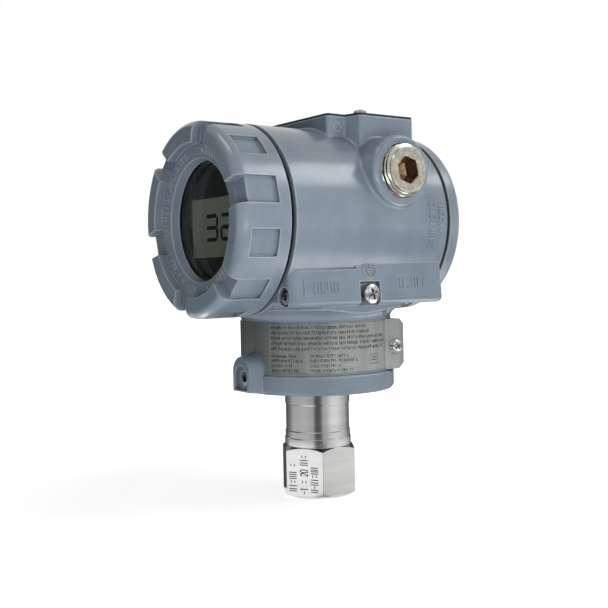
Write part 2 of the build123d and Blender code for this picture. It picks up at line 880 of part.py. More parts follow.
with BuildPart() as window_glass:
    with BuildSketch(barrel_face(glass_front_y)):
        Circle(glass_r)
    extrude(amount=-glass_thickness)
    chamfer(window_glass.edges(), 0.3)

window_glass.part.label = "window_glass"
export_step(window_glass.part, "parts/window_glass.step")

with BuildPart() as window_retainer:
    with BuildSketch(barrel_face(glass_rear_y)):
        Circle(retainer_r)
        Circle(retainer_inner_r, mode=Mode.SUBTRACT)
    extrude(amount=-retainer_thickness)
    with BuildSketch(barrel_face(retainer_rear_y - 1.2)):
        with PolarLocations((retainer_r + retainer_inner_r) / 2, 2, start_angle=90):
            Rectangle(retainer_r - retainer_inner_r + 2, 3)
    extrude(amount=-2, mode=Mode.SUBTRACT)

window_retainer.part.label = "window_retainer"
export_step(window_retainer.part, "parts/window_retainer.step")

with BuildPart() as front_o_ring:
    with BuildSketch(barrel_face(cover_rear_y + seal_play)):
        Circle(front_seal_outer_r)
        Circle(front_seal_outer_r - front_seal_width, mode=Mode.SUBTRACT)
    extrude(amount=-(cover_seal_gap - 2 * seal_play))
    fillet(front_o_ring.edges().filter_by(GeomType.CIRCLE).group_by(SortBy.RADIUS)[-1], 0.8)

front_o_ring.part.label = "front_o_ring"
export_step(front_o_ring.part, "parts/front_o_ring.step")


# Rear cover: plain rim, grip lugs on its end face

with BuildPart() as rear_cover:
    with BuildSketch(barrel_plan):
        with BuildLine():
            Polyline(
                (0, rear_face_y),
                (rear_cover_r - rear_round, rear_face_y),
            )
            RadiusArc(
                (rear_cover_r - rear_round, rear_face_y),
                (rear_cover_r, rear_face_y - rear_round),
                rear_round,
            )
            Polyline(
                (rear_cover_r, rear_face_y - rear_round),
                (rear_cover_r, rear_cover_y),
                (rear_spigot_r, rear_cover_y),
                (rear_spigot_r, rear_cover_y - rear_spigot_length),
                (rear_inner_r, rear_cover_y - rear_spigot_length),
                (rear_inner_r, rear_face_y - rear_wall),
                (0, rear_face_y - rear_wall),
                (0, rear_face_y),
            )
        make_face()
    revolve(axis=barrel_axis)
    with BuildSketch(rear_barrel_face(rear_face_y - 0.5)):
        with PolarLocations((rear_lug_inner_r + rear_lug_outer_r) / 2, rear_lug_count):
            RectangleRounded(rear_lug_outer_r - rear_lug_inner_r, rear_lug_width, 2)
    extrude(amount=rear_lug_height + 0.5)

rear_cover.part.label = "rear_cover"
export_step(rear_cover.part, "parts/rear_cover.step")

with BuildPart() as rear_o_ring:
    with BuildSketch(rear_barrel_face(barrel_rear_y + seal_play)):
        Circle(rear_seal_outer_r)
        Circle(rear_seal_outer_r - rear_seal_width, mode=Mode.SUBTRACT)
    extrude(amount=rear_gap - 2 * seal_play)

rear_o_ring.part.label = "rear_o_ring"
export_step(rear_o_ring.part, "parts/rear_o_ring.step")


# Entry plug with a hexagon socket

with BuildPart() as entry_plug:
    with BuildSketch(Plane.YZ.offset(plug_face_x)):
        with Locations((entry_y, entry_z)):
            Circle(entry_thread_r - plug_fit)
    extrude(amount=-plug_length)
    chamfer(
        entry_plug.edges().group_by(Axis.X)[-1],
        entry_thread_r - plug_fit - plug_face_r,
    )
    with BuildSketch(Plane.YZ.offset(plug_face_x)):
        with Locations((entry_y, entry_z)):
            RegularPolygon(plug_socket_flats / 2, 6, major_radius=False, rotation=12)
    extrude(amount=-plug_socket_depth, mode=Mode.SUBTRACT)

entry_plug.part.label = "entry_plug"
export_step(entry_plug.part, "parts/entry_plug.step")


# Lock screws with hexagon sockets

with BuildPart() as neck_lock_screw:
    with BuildSketch(Plane.XZ.offset(-neck_lock_front_y)):
        with Locations((0, neck_lock_z)):
            Circle(neck_lock_r - 0.02)
    extrude(amount=neck_lock_front_y + sensor_body_r + 0.15)
    with BuildSketch(Plane.XZ.offset(-neck_lock_front_y)):
        with Locations((0, neck_lock_z)):
            RegularPolygon(neck_lock_flats / 2, 6, major_radius=False, rotation=30)
    extrude(amount=-3, mode=Mode.SUBTRACT)

neck_lock_screw.part.label = "neck_lock_screw"
export_step(neck_lock_screw.part, "parts/neck_lock_screw.step")

with BuildPart() as front_lock_screw:
    with BuildSketch(Plane.XZ.offset(-barrel_front_y - cover_lock_sunk)):
        with Locations((cover_lock_x, cover_lock_z)):
            Circle(cover_lock_r - 0.02)
    extrude(amount=-cover_lock_length)
    with BuildSketch(Plane.XZ.offset(-barrel_front_y - cover_lock_sunk)):
        with Locations((cover_lock_x, cover_lock_z)):
            RegularPolygon(cover_lock_flats / 2, 6, major_radius=False, rotation=30)
    extrude(amount=-2.5, mode=Mode.SUBTRACT)

front_lock_screw.part.label = "front_lock_screw"
export_step(front_lock_screw.part, "parts/front_lock_screw.step")

with BuildPart() as rear_lock_screw:
    with BuildSketch(Plane.XZ.offset(-barrel_rear_y + cover_lock_sunk)):
        with Locations((cover_lock_x, cover_lock_z)):
            Circle(cover_lock_r - 0.02)
    extrude(amount=cover_lock_length)
    with BuildSketch(Plane.XZ.offset(-barrel_rear_y + cover_lock_sunk)):
        with Locations((cover_lock_x, cover_lock_z)):
            RegularPolygon(cover_lock_flats / 2, 6, major_radius=False, rotation=30)
    extrude(amount=2.5, mode=Mode.SUBTRACT)

rear_lock_screw.part.label = "rear_lock_screw"
export_step(rear_lock_screw.part, "parts/rear_lock_screw.step")


# Earth terminal on the shelf

with BuildPart() as earth_clamp:
    with BuildSketch(Plane.YZ.offset(earth_floor_x)):
        with Locations((earth_y, earth_screw_z)):
            Rectangle(earth_clamp_size, earth_clamp_size)
            Circle(earth_shank_r + 0.2, mode=Mode.SUBTRACT)
    extrude(amount=earth_clamp_thickness)

earth_clamp.part.label = "earth_clamp"
export_step(earth_clamp.part, "parts/earth_clamp.step")

earth_spring_x = earth_floor_x + earth_clamp_thickness
earth_head_x = earth_spring_x + earth_spring_thickness

with BuildPart() as earth_spring_washer:
    with BuildSketch(Plane.YZ.offset(earth_spring_x)):
        with Locations((earth_y, earth_screw_z)):
            Circle(earth_spring_r)
            Circle(earth_shank_r + 0.2, mode=Mode.SUBTRACT)
        with Locations((earth_y + earth_spring_r, earth_screw_z)):
            Rectangle(2 * earth_spring_r, 0.6, rotation=30, mode=Mode.SUBTRACT)
    extrude(amount=earth_spring_thickness)

earth_spring_washer.part.label = "earth_spring_washer"
export_step(earth_spring_washer.part, "parts/earth_spring_washer.step")

with BuildPart() as earth_screw:
    with BuildSketch(Plane.YZ.offset(earth_head_x)):
        with Locations((earth_y, earth_screw_z)):
            Circle(earth_head_r)
    extrude(amount=earth_head_height)
    fillet(earth_screw.edges().group_by(Axis.X)[-1], 1.1)
    with BuildSketch(Plane.YZ.offset(earth_head_x)):
        with Locations((earth_y, earth_screw_z)):
            Circle(earth_shank_r - 0.02)
    extrude(amount=earth_floor_x - earth_shank_length + 0.5 - earth_head_x)
    with BuildSketch(Plane.YZ.offset(earth_head_x + earth_head_height)):
        with Locations((earth_y, earth_screw_z)):
            Rectangle(2 * earth_head_r - 3.4, cross_width)
            Rectangle(cross_width, 2 * earth_head_r - 3.4)
    extrude(amount=-cross_depth, mode=Mode.SUBTRACT)

earth_screw.part.label = "earth_screw"
export_step(earth_screw.part, "parts/earth_screw.step")


# Nameplate bent round the neck from pad to pad

with BuildPart() as nameplate:
    with BuildSketch(Plane.XY.offset(plate_bottom_z)):
        Circle(neck_r + plate_thickness)
        Circle(neck_r, mode=Mode.SUBTRACT)
        with Locations((0, pad_bend_y + neck_r)):
            Rectangle(3 * neck_r, 2 * neck_r, mode=Mode.SUBTRACT)
        with Locations(
            (pad_x + plate_thickness / 2, (pad_bend_y + pad_end_y) / 2),
            (-pad_x - plate_thickness / 2, (pad_bend_y + pad_end_y) / 2),
        ):
            Rectangle(plate_thickness, pad_end_y - pad_bend_y)
    extrude(amount=plate_height)
    chamfer(nameplate.edges().filter_by(Axis.X).group_by(Axis.Y)[-1], plate_corner)
    for side in (1, -1):
        with BuildSketch(Plane.YZ.offset(side * pad_x)):
            with Locations((plate_screw_y, plate_screw_z)):
                Circle(plate_screw_r + 0.2)
        extrude(amount=side * 2, mode=Mode.SUBTRACT)
    with BuildSketch(Plane.XZ.offset(neck_r - 5)):
        with Locations((0, lug_top_z - lug_half_width)):
            Circle(lug_half_width + lug_plate_gap)
        with Locations((0, (lug_top_z - lug_half_width + lug_bottom_z) / 2)):
            Rectangle(
                2 * (lug_half_width + lug_plate_gap),
                lug_top_z - lug_half_width - lug_bottom_z,
            )
    extrude(amount=10, mode=Mode.SUBTRACT)

nameplate.part.label = "nameplate"
export_step(nameplate.part, "parts/nameplate.step")

with BuildPart() as nameplate_screws:
    for side in (1, -1):
        with BuildSketch(Plane.YZ.offset(side * plate_face_x)):
            with Locations((plate_screw_y, plate_screw_z)):
                Circle(plate_screw_head_r)
        extrude(amount=side * plate_screw_head_height)
        head_rims = nameplate_screws.edges().filter_by(GeomType.CIRCLE).group_by(Axis.X)
        fillet(head_rims[-1] if side > 0 else head_rims[0], 0.9)
        with BuildSketch(Plane.YZ.offset(side * plate_face_x)):
            with Locations((plate_screw_y, plate_screw_z)):
                Circle(plate_screw_r - 0.02)
        extrude(amount=-side * plate_screw_length)
        with BuildSketch(Plane.YZ.offset(side * (plate_face_x + plate_screw_head_height))):
            with Locations((plate_screw_y, plate_screw_z)):
                Rectangle(2 * plate_screw_head_r - 2.4, cross_width * 0.8)
                Rectangle(cross_width * 0.8, 2 * plate_screw_head_r - 2.4)
        extrude(amount=-side * cross_depth, mode=Mode.SUBTRACT)

nameplate_screws.part.label = "nameplate_screws"
export_step(nameplate_screws.part, "parts/nameplate_screws.step")


# Feed-through: potted disc under the ceiling of the neck with a stem into the electronics

feed_disc_z = neck_ceiling_z - feed_disc_thickness

with BuildPart() as feed_through:
    with BuildSketch(Plane.XY.offset(feed_disc_z)):
        Circle(feed_disc_r)
    extrude(amount=feed_disc_thickness)
    with BuildSketch(Plane.XY.offset(neck_ceiling_z)):
        with Locations((0, feed_hole_y)):
            Circle(feed_stem_r)
    extrude(amount=feed_stem_top_z - neck_ceiling_z)
    with BuildSketch(Plane.XY.offset(feed_disc_z)):
        Circle(feed_socket_r)
    extrude(amount=feed_socket_depth, mode=Mode.SUBTRACT)

feed_through.part.label = "feed_through"
export_step(feed_through.part, "parts/feed_through.step")


# Electronics

with BuildPart() as electronics_case:
    with BuildSketch(barrel_face(main_board_rear_y)):
        Circle(case_r)
        with Locations((0, feed_stem_top_z - barrel_z - case_r)):
            Rectangle(4 * feed_hole_r, 2 * case_r + 1.5, mode=Mode.SUBTRACT)
        with PolarLocations(case_screw_circle_r, 2, start_angle=0):
            Circle(case_screw_r + 0.2, mode=Mode.SUBTRACT)
    extrude(amount=main_board_rear_y - partition_front_y)

electronics_case.part.label = "electronics_case"
export_step(electronics_case.part, "parts/electronics_case.step")

with BuildPart() as main_board:
    with BuildSketch(barrel_face(main_board_y)):
        Circle(main_board_r)
        with PolarLocations(case_screw_circle_r, 2, start_angle=0):
            Circle(case_screw_r + 0.2, mode=Mode.SUBTRACT)
    extrude(amount=-board_thickness)

main_board.part.label = "main_board"
export_step(main_board.part, "parts/main_board.step")

with BuildPart() as case_screws:
    with BuildSketch(barrel_face(main_board_y)):
        with PolarLocations(case_screw_circle_r, 2, start_angle=0):
            Circle(case_screw_head_r)
    extrude(amount=case_screw_head_height)
    with BuildSketch(barrel_face(main_board_y)):
        with PolarLocations(case_screw_circle_r, 2, start_angle=0):
            Circle(case_screw_r - 0.02)
    extrude(amount=-case_screw_length + 0.5)

case_screws.part.label = "case_screws"
export_step(case_screws.part, "parts/case_screws.step")

with BuildPart() as board_connector:
    with BuildSketch(barrel_face(main_board_y)):
        with Locations((connector_x, -connector_z_drop)):
            Rectangle(connector_size[0], connector_size[1])
    extrude(amount=connector_size[2])

board_connector.part.label = "board_connector"
export_step(board_connector.part, "parts/board_connector.step")

with BuildPart() as standoffs:
    with BuildSketch(barrel_face(main_board_y)):
        with PolarLocations(standoff_circle_r, 4, start_angle=standoff_turn):
            RegularPolygon(standoff_r, 6, major_radius=False)
    extrude(amount=main_board_y - display_board_rear_y)

standoffs.part.label = "standoffs"
export_step(standoffs.part, "parts/standoffs.step")

with BuildPart() as display_board:
    with BuildSketch(barrel_face(display_board_rear_y)):
        Circle(display_board_r)
    extrude(amount=board_thickness)

display_board.part.label = "display_board"
export_step(display_board.part, "parts/display_board.step")

bezel_shoulder_y = bezel_front_y + bezel_face_height

with BuildPart() as display_bezel:
    with BuildSketch(barrel_face(bezel_rear_y)):
        Circle(bezel_shoulder_r)
    extrude(amount=bezel_depth - bezel_face_height)
    with BuildSketch(barrel_face(bezel_shoulder_y)):
        Circle(bezel_face_r)
    extrude(amount=bezel_face_height)
    with BuildSketch(barrel_face(bezel_front_y)):
        with Locations((0, -lcd_centre_drop)):
            Rectangle(lcd_width, lcd_height)
    extrude(amount=-lcd_thickness - lcd_sunk, mode=Mode.SUBTRACT)
    with BuildSketch(barrel_face(bezel_shoulder_y)):
        with PolarLocations(display_screw_circle_r, 2, start_angle=0):
            Circle(display_screw_head_r + 0.2)
    extrude(amount=-display_screw_head_height - 0.2, mode=Mode.SUBTRACT)
    with BuildSketch(barrel_face(bezel_shoulder_y)):
        with PolarLocations(display_screw_circle_r, 2, start_angle=0):
            Circle(display_screw_r)
    extrude(amount=-bezel_depth, mode=Mode.SUBTRACT)

display_bezel.part.label = "display_bezel"
export_step(display_bezel.part, "parts/display_bezel.step")

with BuildPart() as lcd_panel:
    with BuildSketch(barrel_face(bezel_front_y + lcd_sunk)):
        with Locations((0, -lcd_centre_drop)):
            Rectangle(lcd_width - 0.1, lcd_height - 0.1)
    extrude(amount=-lcd_thickness)

lcd_panel.part.label = "lcd_panel"
export_step(lcd_panel.part, "parts/lcd_panel.step")

display_head_y = bezel_shoulder_y + display_screw_head_height + 0.2

with BuildPart() as display_screws:
    with BuildSketch(barrel_face(display_head_y)):
        with PolarLocations(display_screw_circle_r, 2, start_angle=0):
            Circle(display_screw_head_r)
    extrude(amount=display_screw_head_height)
    with BuildSketch(barrel_face(display_head_y)):
        with PolarLocations(display_screw_circle_r, 2, start_angle=0):
            Circle(display_screw_r - 0.02)
    extrude(amount=bezel_rear_y - display_head_y, dir=(0, 1, 0))

display_screws.part.label = "display_screws"
export_step(display_screws.part, "parts/display_screws.step")


# Terminals in the rear compartment

def terminal_places():
    span = terminal_pitch * (terminal_count - 1)
    return [(i * terminal_pitch - span / 2, 0) for i in range(terminal_count)]


def terminal_face(y):
    return Plane(origin=(0, y, terminal_z), x_dir=(1, 0, 0), z_dir=(0, -1, 0))


with BuildPart() as terminal_block:
    with BuildSketch(terminal_face(terminal_face_y)):
        Rectangle(terminal_width, terminal_block_height)
    extrude(amount=terminal_depth)
    with BuildSketch(terminal_face(terminal_face_y)):
        with Locations(*terminal_places()):
            Rectangle(terminal_slot_width, terminal_block_height + 2)
    extrude(amount=terminal_slot_depth, mode=Mode.SUBTRACT)
    with BuildSketch(terminal_face(terminal_floor_y)):
        with Locations(*terminal_places()):
            Circle(terminal_shank_r)
    extrude(amount=terminal_shank_length, mode=Mode.SUBTRACT)

terminal_block.part.label = "terminal_block"
export_step(terminal_block.part, "parts/terminal_block.step")

with BuildPart() as terminal_clamps:
    with BuildSketch(terminal_face(terminal_floor_y)):
        with Locations(*terminal_places()):
            Rectangle(clamp_size, clamp_size)
        with Locations(*terminal_places()):
            Circle(terminal_shank_r + 0.1, mode=Mode.SUBTRACT)
    extrude(amount=-clamp_thickness)

terminal_clamps.part.label = "terminal_clamps"
export_step(terminal_clamps.part, "parts/terminal_clamps.step")

terminal_head_y = terminal_floor_y + clamp_thickness

with BuildPart() as terminal_screws:
    with BuildSketch(terminal_face(terminal_head_y)):
        with Locations(*terminal_places()):
            Circle(terminal_head_r)
    extrude(amount=-terminal_head_height)
    with BuildSketch(terminal_face(terminal_head_y + terminal_head_height)):
        with Locations(*terminal_places()):
            Rectangle(2 * terminal_head_r - 2.2, cross_width)
            Rectangle(cross_width, 2 * terminal_head_r - 2.2)
    extrude(amount=cross_depth, mode=Mode.SUBTRACT)
    with BuildSketch(terminal_face(terminal_head_y)):
        with Locations(*terminal_places()):
            Circle(terminal_shank_r - 0.02)
    extrude(amount=terminal_shank_length)

terminal_screws.part.label = "terminal_screws"
export_step(terminal_screws.part, "parts/terminal_screws.step")

with BuildPart() as inner_earth_washer:
    with BuildSketch(Plane.XZ.offset(-partition_rear_y)):
        with Locations((inner_earth_x, inner_earth_z)):
            Circle(inner_earth_washer_r)
            Circle(inner_earth_shank_r + 0.2, mode=Mode.SUBTRACT)
    extrude(amount=-inner_earth_washer_thickness)

inner_earth_washer.part.label = "inner_earth_washer"
export_step(inner_earth_washer.part, "parts/inner_earth_washer.step")

inner_head_y = partition_rear_y + inner_earth_washer_thickness

with BuildPart() as inner_earth_screw:
    with BuildSketch(Plane.XZ.offset(-inner_head_y)):
        with Locations((inner_earth_x, inner_earth_z)):
            Circle(inner_earth_head_r)
    extrude(amount=-inner_earth_head_height)
    with BuildSketch(Plane.XZ.offset(-inner_head_y)):
        with Locations((inner_earth_x, inner_earth_z)):
            Circle(inner_earth_shank_r - 0.02)
    extrude(amount=inner_earth_washer_thickness + inner_earth_shank_length - 0.3)
    with BuildSketch(Plane.XZ.offset(-inner_head_y - inner_earth_head_height)):
        with Locations((inner_earth_x, inner_earth_z)):
            Rectangle(2 * inner_earth_head_r - 2.4, cross_width)
            Rectangle(cross_width, 2 * inner_earth_head_r - 2.4)
    extrude(amount=cross_depth, mode=Mode.SUBTRACT)

inner_earth_screw.part.label = "inner_earth_screw"
export_step(inner_earth_screw.part, "parts/inner_earth_screw.step")


# Cover plate on the block, its gasket and screw, and the buttons under it

with BuildPart() as key_gasket:
    with BuildSketch(Plane.XY.offset(key_gasket_z)):
        add(block_plan.sketch.faces())
        offset(amount=-key_inset, kind=Kind.INTERSECTION, mode=Mode.REPLACE)
        with Locations((-button_x, button_y), (button_x, button_y)):
            Circle(gasket_hole_r, mode=Mode.SUBTRACT)
        with Locations((key_screw_x, key_screw_y)):
            Circle(key_screw_r + key_screw_fit, mode=Mode.SUBTRACT)
    extrude(amount=key_gasket_thickness)

key_gasket.part.label = "key_gasket"
export_step(key_gasket.part, "parts/key_gasket.step")

with BuildPart() as key_cover:
    with BuildSketch(Plane.XY.offset(key_plate_z)):
        add(block_plan.sketch.faces())
        offset(amount=-key_inset, kind=Kind.INTERSECTION, mode=Mode.REPLACE)
        with Locations((key_screw_x, key_screw_y)):
            Circle(key_screw_r + key_screw_fit, mode=Mode.SUBTRACT)
    extrude(amount=key_plate_thickness)

key_cover.part.label = "key_cover"
export_step(key_cover.part, "parts/key_cover.step")

with BuildPart() as key_cover_screw:
    with BuildSketch(Plane.XY.offset(key_plate_top + key_play)):
        with Locations((key_screw_x, key_screw_y)):
            Circle(key_screw_head_r)
    extrude(amount=key_screw_head_height)
    fillet(key_cover_screw.edges().group_by(Axis.Z)[-1], 0.9)
    with BuildSketch(Plane.XY.offset(key_plate_top + key_play + key_screw_head_height)):
        with Locations((key_screw_x, key_screw_y)):
            Rectangle(2 * key_screw_head_r - 2.4, cross_width)
            Rectangle(cross_width, 2 * key_screw_head_r - 2.4)
    extrude(amount=-cross_depth, mode=Mode.SUBTRACT)
    with BuildSketch(Plane.XY.offset(key_plate_top + key_play)):
        with Locations((key_screw_x, key_screw_y)):
            Circle(key_screw_r - 0.02)
    extrude(amount=block_top_z - key_screw_length + 0.5 - key_plate_top - key_play)

key_cover_screw.part.label = "key_cover_screw"
export_step(key_cover_screw.part, "parts/key_cover_screw.step")

with BuildPart() as zero_button:
    with BuildSketch(Plane.XY.offset(button_bottom_z)):
        with Locations((-button_x, button_y)):
            Circle(button_r)
    extrude(amount=button_length)
    chamfer(zero_button.edges().group_by(Axis.Z)[-1], 0.4)

zero_button.part.label = "zero_button"
export_step(zero_button.part, "parts/zero_button.step")

with BuildPart() as span_button:
    with BuildSketch(Plane.XY.offset(button_bottom_z)):
        with Locations((button_x, button_y)):
            Circle(button_r)
    extrude(amount=button_length)
    chamfer(span_button.edges().group_by(Axis.Z)[-1], 0.4)

span_button.part.label = "span_button"
export_step(span_button.part, "parts/span_button.step")

with BuildPart() as button_springs:
    with BuildSketch(Plane.XY.offset(button_floor_z)):
        with Locations((-button_x, button_y), (button_x, button_y)):
            Circle(spring_outer_r)
        with Locations((-button_x, button_y), (button_x, button_y)):
            Circle(spring_inner_r, mode=Mode.SUBTRACT)
    extrude(amount=spring_height)

button_springs.part.label = "button_springs"
export_step(button_springs.part, "parts/button_springs.step")
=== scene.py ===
import json
import math
import bpy
import numpy as np
from mathutils import Matrix, Vector


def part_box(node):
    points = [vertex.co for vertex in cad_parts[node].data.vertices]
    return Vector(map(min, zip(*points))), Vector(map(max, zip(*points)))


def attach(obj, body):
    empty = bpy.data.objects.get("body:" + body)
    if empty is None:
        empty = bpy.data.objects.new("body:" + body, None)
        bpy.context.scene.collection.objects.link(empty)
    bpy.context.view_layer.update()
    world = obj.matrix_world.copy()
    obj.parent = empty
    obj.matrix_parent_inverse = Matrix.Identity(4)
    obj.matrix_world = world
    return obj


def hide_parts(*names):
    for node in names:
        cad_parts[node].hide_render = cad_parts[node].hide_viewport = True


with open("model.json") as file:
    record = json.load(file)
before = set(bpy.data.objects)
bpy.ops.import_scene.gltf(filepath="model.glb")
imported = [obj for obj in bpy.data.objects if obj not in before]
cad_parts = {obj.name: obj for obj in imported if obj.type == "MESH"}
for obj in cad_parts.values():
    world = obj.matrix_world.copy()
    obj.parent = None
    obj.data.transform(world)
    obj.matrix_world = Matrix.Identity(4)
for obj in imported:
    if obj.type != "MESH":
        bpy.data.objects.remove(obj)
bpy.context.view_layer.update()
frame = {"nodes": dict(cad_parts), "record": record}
nodes = frame["nodes"]
mm = 0.001
print("frame loaded:", len(nodes), "nodes")


class Flow:  # one shader socket; sums and products of flows add Math nodes
    def __init__(self, tree, socket):
        self.tree = tree
        self.socket = socket

    def node(self, kind, settings=None, inputs=None, out=0):  # any other node: settings, then sockets
        made = self.tree.nodes.new(kind)
        for name, value in (settings or {}).items():
            if name == "stops":
                ramp = made.color_ramp
                while len(ramp.elements) < len(value):
                    ramp.elements.new(0.5)
                for stop, (place, colour) in zip(ramp.elements, value):
                    stop.position = place
                    stop.color = colour if len(colour) == 4 else (*colour, 1.0)
            else:
                setattr(made, name, value)
        for key, value in (inputs or {}).items():
            if isinstance(value, Flow):
                self.tree.links.new(value.socket, made.inputs[key])
            else:
                made.inputs[key].default_value = value
        return Flow(self.tree, made.outputs[out])

    def maths(self, operation, first, second=0.0):
        return self.node("ShaderNodeMath", {"operation": operation}, {0: first, 1: second})

    def __add__(self, other): return self.maths("ADD", self, other)
    def __radd__(self, other): return self.maths("ADD", other, self)
    def __sub__(self, other): return self.maths("SUBTRACT", self, other)
    def __rsub__(self, other): return self.maths("SUBTRACT", other, self)
    def __mul__(self, other): return self.maths("MULTIPLY", self, other)
    def __rmul__(self, other): return self.maths("MULTIPLY", other, self)
    def __truediv__(self, other): return self.maths("DIVIDE", self, other)

    def clamp(self, low=0.0, high=1.0):
        return self.maths("MINIMUM", self.maths("MAXIMUM", self, low), high)

    def ramp(self, *stops):
        return self.node("ShaderNodeValToRGB", {"stops": stops}, {"Fac": self})

    def blend(self, first, second):  # colour mix, self is the factor
        return self.node("ShaderNodeMix", {"data_type": "RGBA"}, {0: self, 6: first, 7: second}, 2)


# shared by the finishes: rays of a bevel or occlusion node, softness of metal edges, depth of marks and of lines
common = {"rays": 6, "metalEdge": 0.18 * mm, "markDepth": 0.006 * mm, "lineDepth": 0.004 * mm}


def newFinish(name, fixed):
    material = bpy.data.materials.new(name)
    material.use_nodes = True
    tree = material.node_tree
    shader = tree.nodes["Principled BSDF"]
    for socket, value in fixed.items():
        shader.inputs[socket].default_value = value
    place = Flow(tree, tree.nodes.new("ShaderNodeTexCoord").outputs["Object"])
    return material, shader, place


def feed(shader, socket, flow):
    flow.tree.links.new(flow.socket, shader.inputs[socket])


def stretched(place, scale, shift=(0, 0, 0)):  # place * scale + shift
    return place.node("ShaderNodeMapping", {}, {0: place, "Scale": scale, "Location": shift})


def noise(place, scale, detail=2.0, rough=0.5):
    return place.node("ShaderNodeTexNoise", {}, {"Vector": place, "Scale": scale, "Detail": detail, "Roughness": rough})


def withNormal(inputs, normal):
    return inputs if normal is None else {**inputs, "Normal": normal}


def bumped(height, depth, normal=None):
    inputs = {"Height": height, "Distance": depth, "Strength": 1.0}
    return height.node("ShaderNodeBump", {}, withNormal(inputs, normal))


def rounded(place, radius):  # normal that softens edges
    return place.node("ShaderNodeBevel", {"samples": common["rays"]}, {"Radius": radius})


def openness(place, reach, normal=None):  # 1 on open faces, towards 0 where the piece's own walls stand close
    settings = {"samples": common["rays"], "only_local": True}
    return place.node("ShaderNodeAmbientOcclusion", settings, withNormal({"Distance": reach}, normal), 1)


def shaded(body, bare, colour, slope, offset, most):  # painted shade: colour laid over body by (1 - bare) * slope - offset, up to most
    return ((1.0 - bare) * slope - offset).clamp(0.0, most).blend(body, colour)


def edgeMask(place, soft, low, high):  # 1 where the softened normal leaves the face's own
    face = place.node("ShaderNodeNewGeometry", out=1)
    along = place.node("ShaderNodeVectorMath", {"operation": "DOT_PRODUCT"}, {0: soft, 1: face}, 1)
    return ((1.0 - along - low) / (high - low)).clamp()


paint = {
    "colour": (0.215, 0.268, 0.322, 1), "dusty": (0.243, 0.297, 0.350, 1), "deep": (0.178, 0.232, 0.290, 1),
    "edge": (0.60, 0.65, 0.70, 1), "groove": (0.080, 0.102, 0.130, 1), "roundness": 0.7 * mm,
    "wearAndHighlight": 1.2 * mm, "wearAndHighlightFrom": 0.008, "wearAndHighlightFull": 0.11, "wearAndHighlightShare": 0.68,
    "cloudScale": 42.0, "speckScale": 2600.0, "speckShare": 0.05,
    "hollow": 2.7 * mm, "hollowShade": (1.7, 0.35, 0.85),  # reach, then slope, offset and limit of the painted shade
    "shelter": 11.0 * mm, "shelterShade": (1.1, 0.30, 0.38),
    "peelScale": 900.0, "peel": 0.010 * mm, "waveScale": 130.0, "wave": 0.050 * mm, "roughness": 0.215,
}


def paintedCasting(name, tint=None):
    material, shader, place = newFinish(name, {"Metallic": 0.0, "IOR": 1.5})
    soft = rounded(place, paint["roundness"])
    hollow = openness(place, paint["hollow"], soft)
    wearAndHighlight = edgeMask(place, rounded(place, paint["wearAndHighlight"]), paint["wearAndHighlightFrom"], paint["wearAndHighlightFull"])
    edges = wearAndHighlight * (hollow * 3.0 - 2.0).clamp()  # a painted highlight as well as wear: edges turn pale, but not down in a hollow
    cloud = noise(place, paint["cloudScale"], 3.0, 0.6)
    body = cloud.ramp((0.3, paint["deep"]), (0.5, tint or paint["colour"]), (0.72, paint["dusty"]))
    speck = noise(place, paint["speckScale"], 1.0).ramp((0.60, (0, 0, 0)), (0.72, (1, 1, 1)))
    body = (speck * paint["speckShare"]).blend(body, paint["edge"])
    # painted highlight and wear: softened edges blend towards the pale edge colour
    body = (edges * paint["wearAndHighlightShare"]).blend(body, paint["edge"])
    # painted shade: the body darkens where the piece's own walls stand close, broadly and then in tight hollows
    body = shaded(body, openness(place, paint["shelter"], soft), paint["groove"], *paint["shelterShade"])
    feed(shader, "Base Color", shaded(body, hollow, paint["groove"], *paint["hollowShade"]))
    peel = noise(place, paint["peelScale"], 2.0, 0.55)
    wave = noise(place, paint["waveScale"], 2.0, 0.5)
    feed(shader, "Roughness", wave * 0.10 + peel * 0.06 + (paint["roughness"] - 0.08))
    feed(shader, "Normal", bumped(peel, paint["peel"], bumped(wave, paint["wave"], soft)))
    return material


turned = {
    "light": (0.72, 0.72, 0.71, 1), "dark": (0.56, 0.56, 0.555, 1), "crownPaintedShade": (0.085, 0.085, 0.088, 1),
    "lines": 2400.0, "bands": 260.0, "edge": 0.42 * mm, "crownTop": 25.2 * mm, "crownFade": 900.0, "crownPaintedShadeShare": 0.9,
}


def turnedSteel(name):
    material, shader, place = newFinish(name, {"Metallic": 1.0})
    rings = noise(stretched(place, (6.0, 6.0, turned["lines"])), 1.0, 4.0, 0.75)
    broad = noise(stretched(place, (20.0, 20.0, turned["bands"])), 1.0, 2.0)
    body = (rings * 0.35 + broad * 0.65).ramp((0.25, turned["dark"]), (0.72, turned["light"]))
    # painted shade on the chamfered crown of the hexagon: faces turned up, below the crown's top, are darkened
    height = place.node("ShaderNodeSeparateXYZ", {}, {0: place}, 2)
    upward = place.node("ShaderNodeSeparateXYZ", {}, {0: place.node("ShaderNodeNewGeometry", out=1)}, 2)
    crown = ((upward - 0.25) * 6.0).clamp() * ((turned["crownTop"] - height) * turned["crownFade"]).clamp()
    feed(shader, "Base Color", (crown * turned["crownPaintedShadeShare"]).blend(body, turned["crownPaintedShade"]))
    feed(shader, "Roughness", rings * 0.10 + 0.11)
    feed(shader, "Normal", bumped(rings, common["lineDepth"], rounded(place, turned["edge"])))
    return material


def brightSteel(name, light, dark, roughness=0.2, scale=700.0):
    material, shader, place = newFinish(name, {"Metallic": 1.0})
    marks = noise(place, scale, 3.0, 0.6)
    feed(shader, "Base Color", marks.ramp((0.3, dark), (0.65, light)))
    feed(shader, "Roughness", marks * 0.16 + (roughness - 0.06))
    feed(shader, "Normal", bumped(marks, common["markDepth"], rounded(place, common["metalEdge"])))
    return material


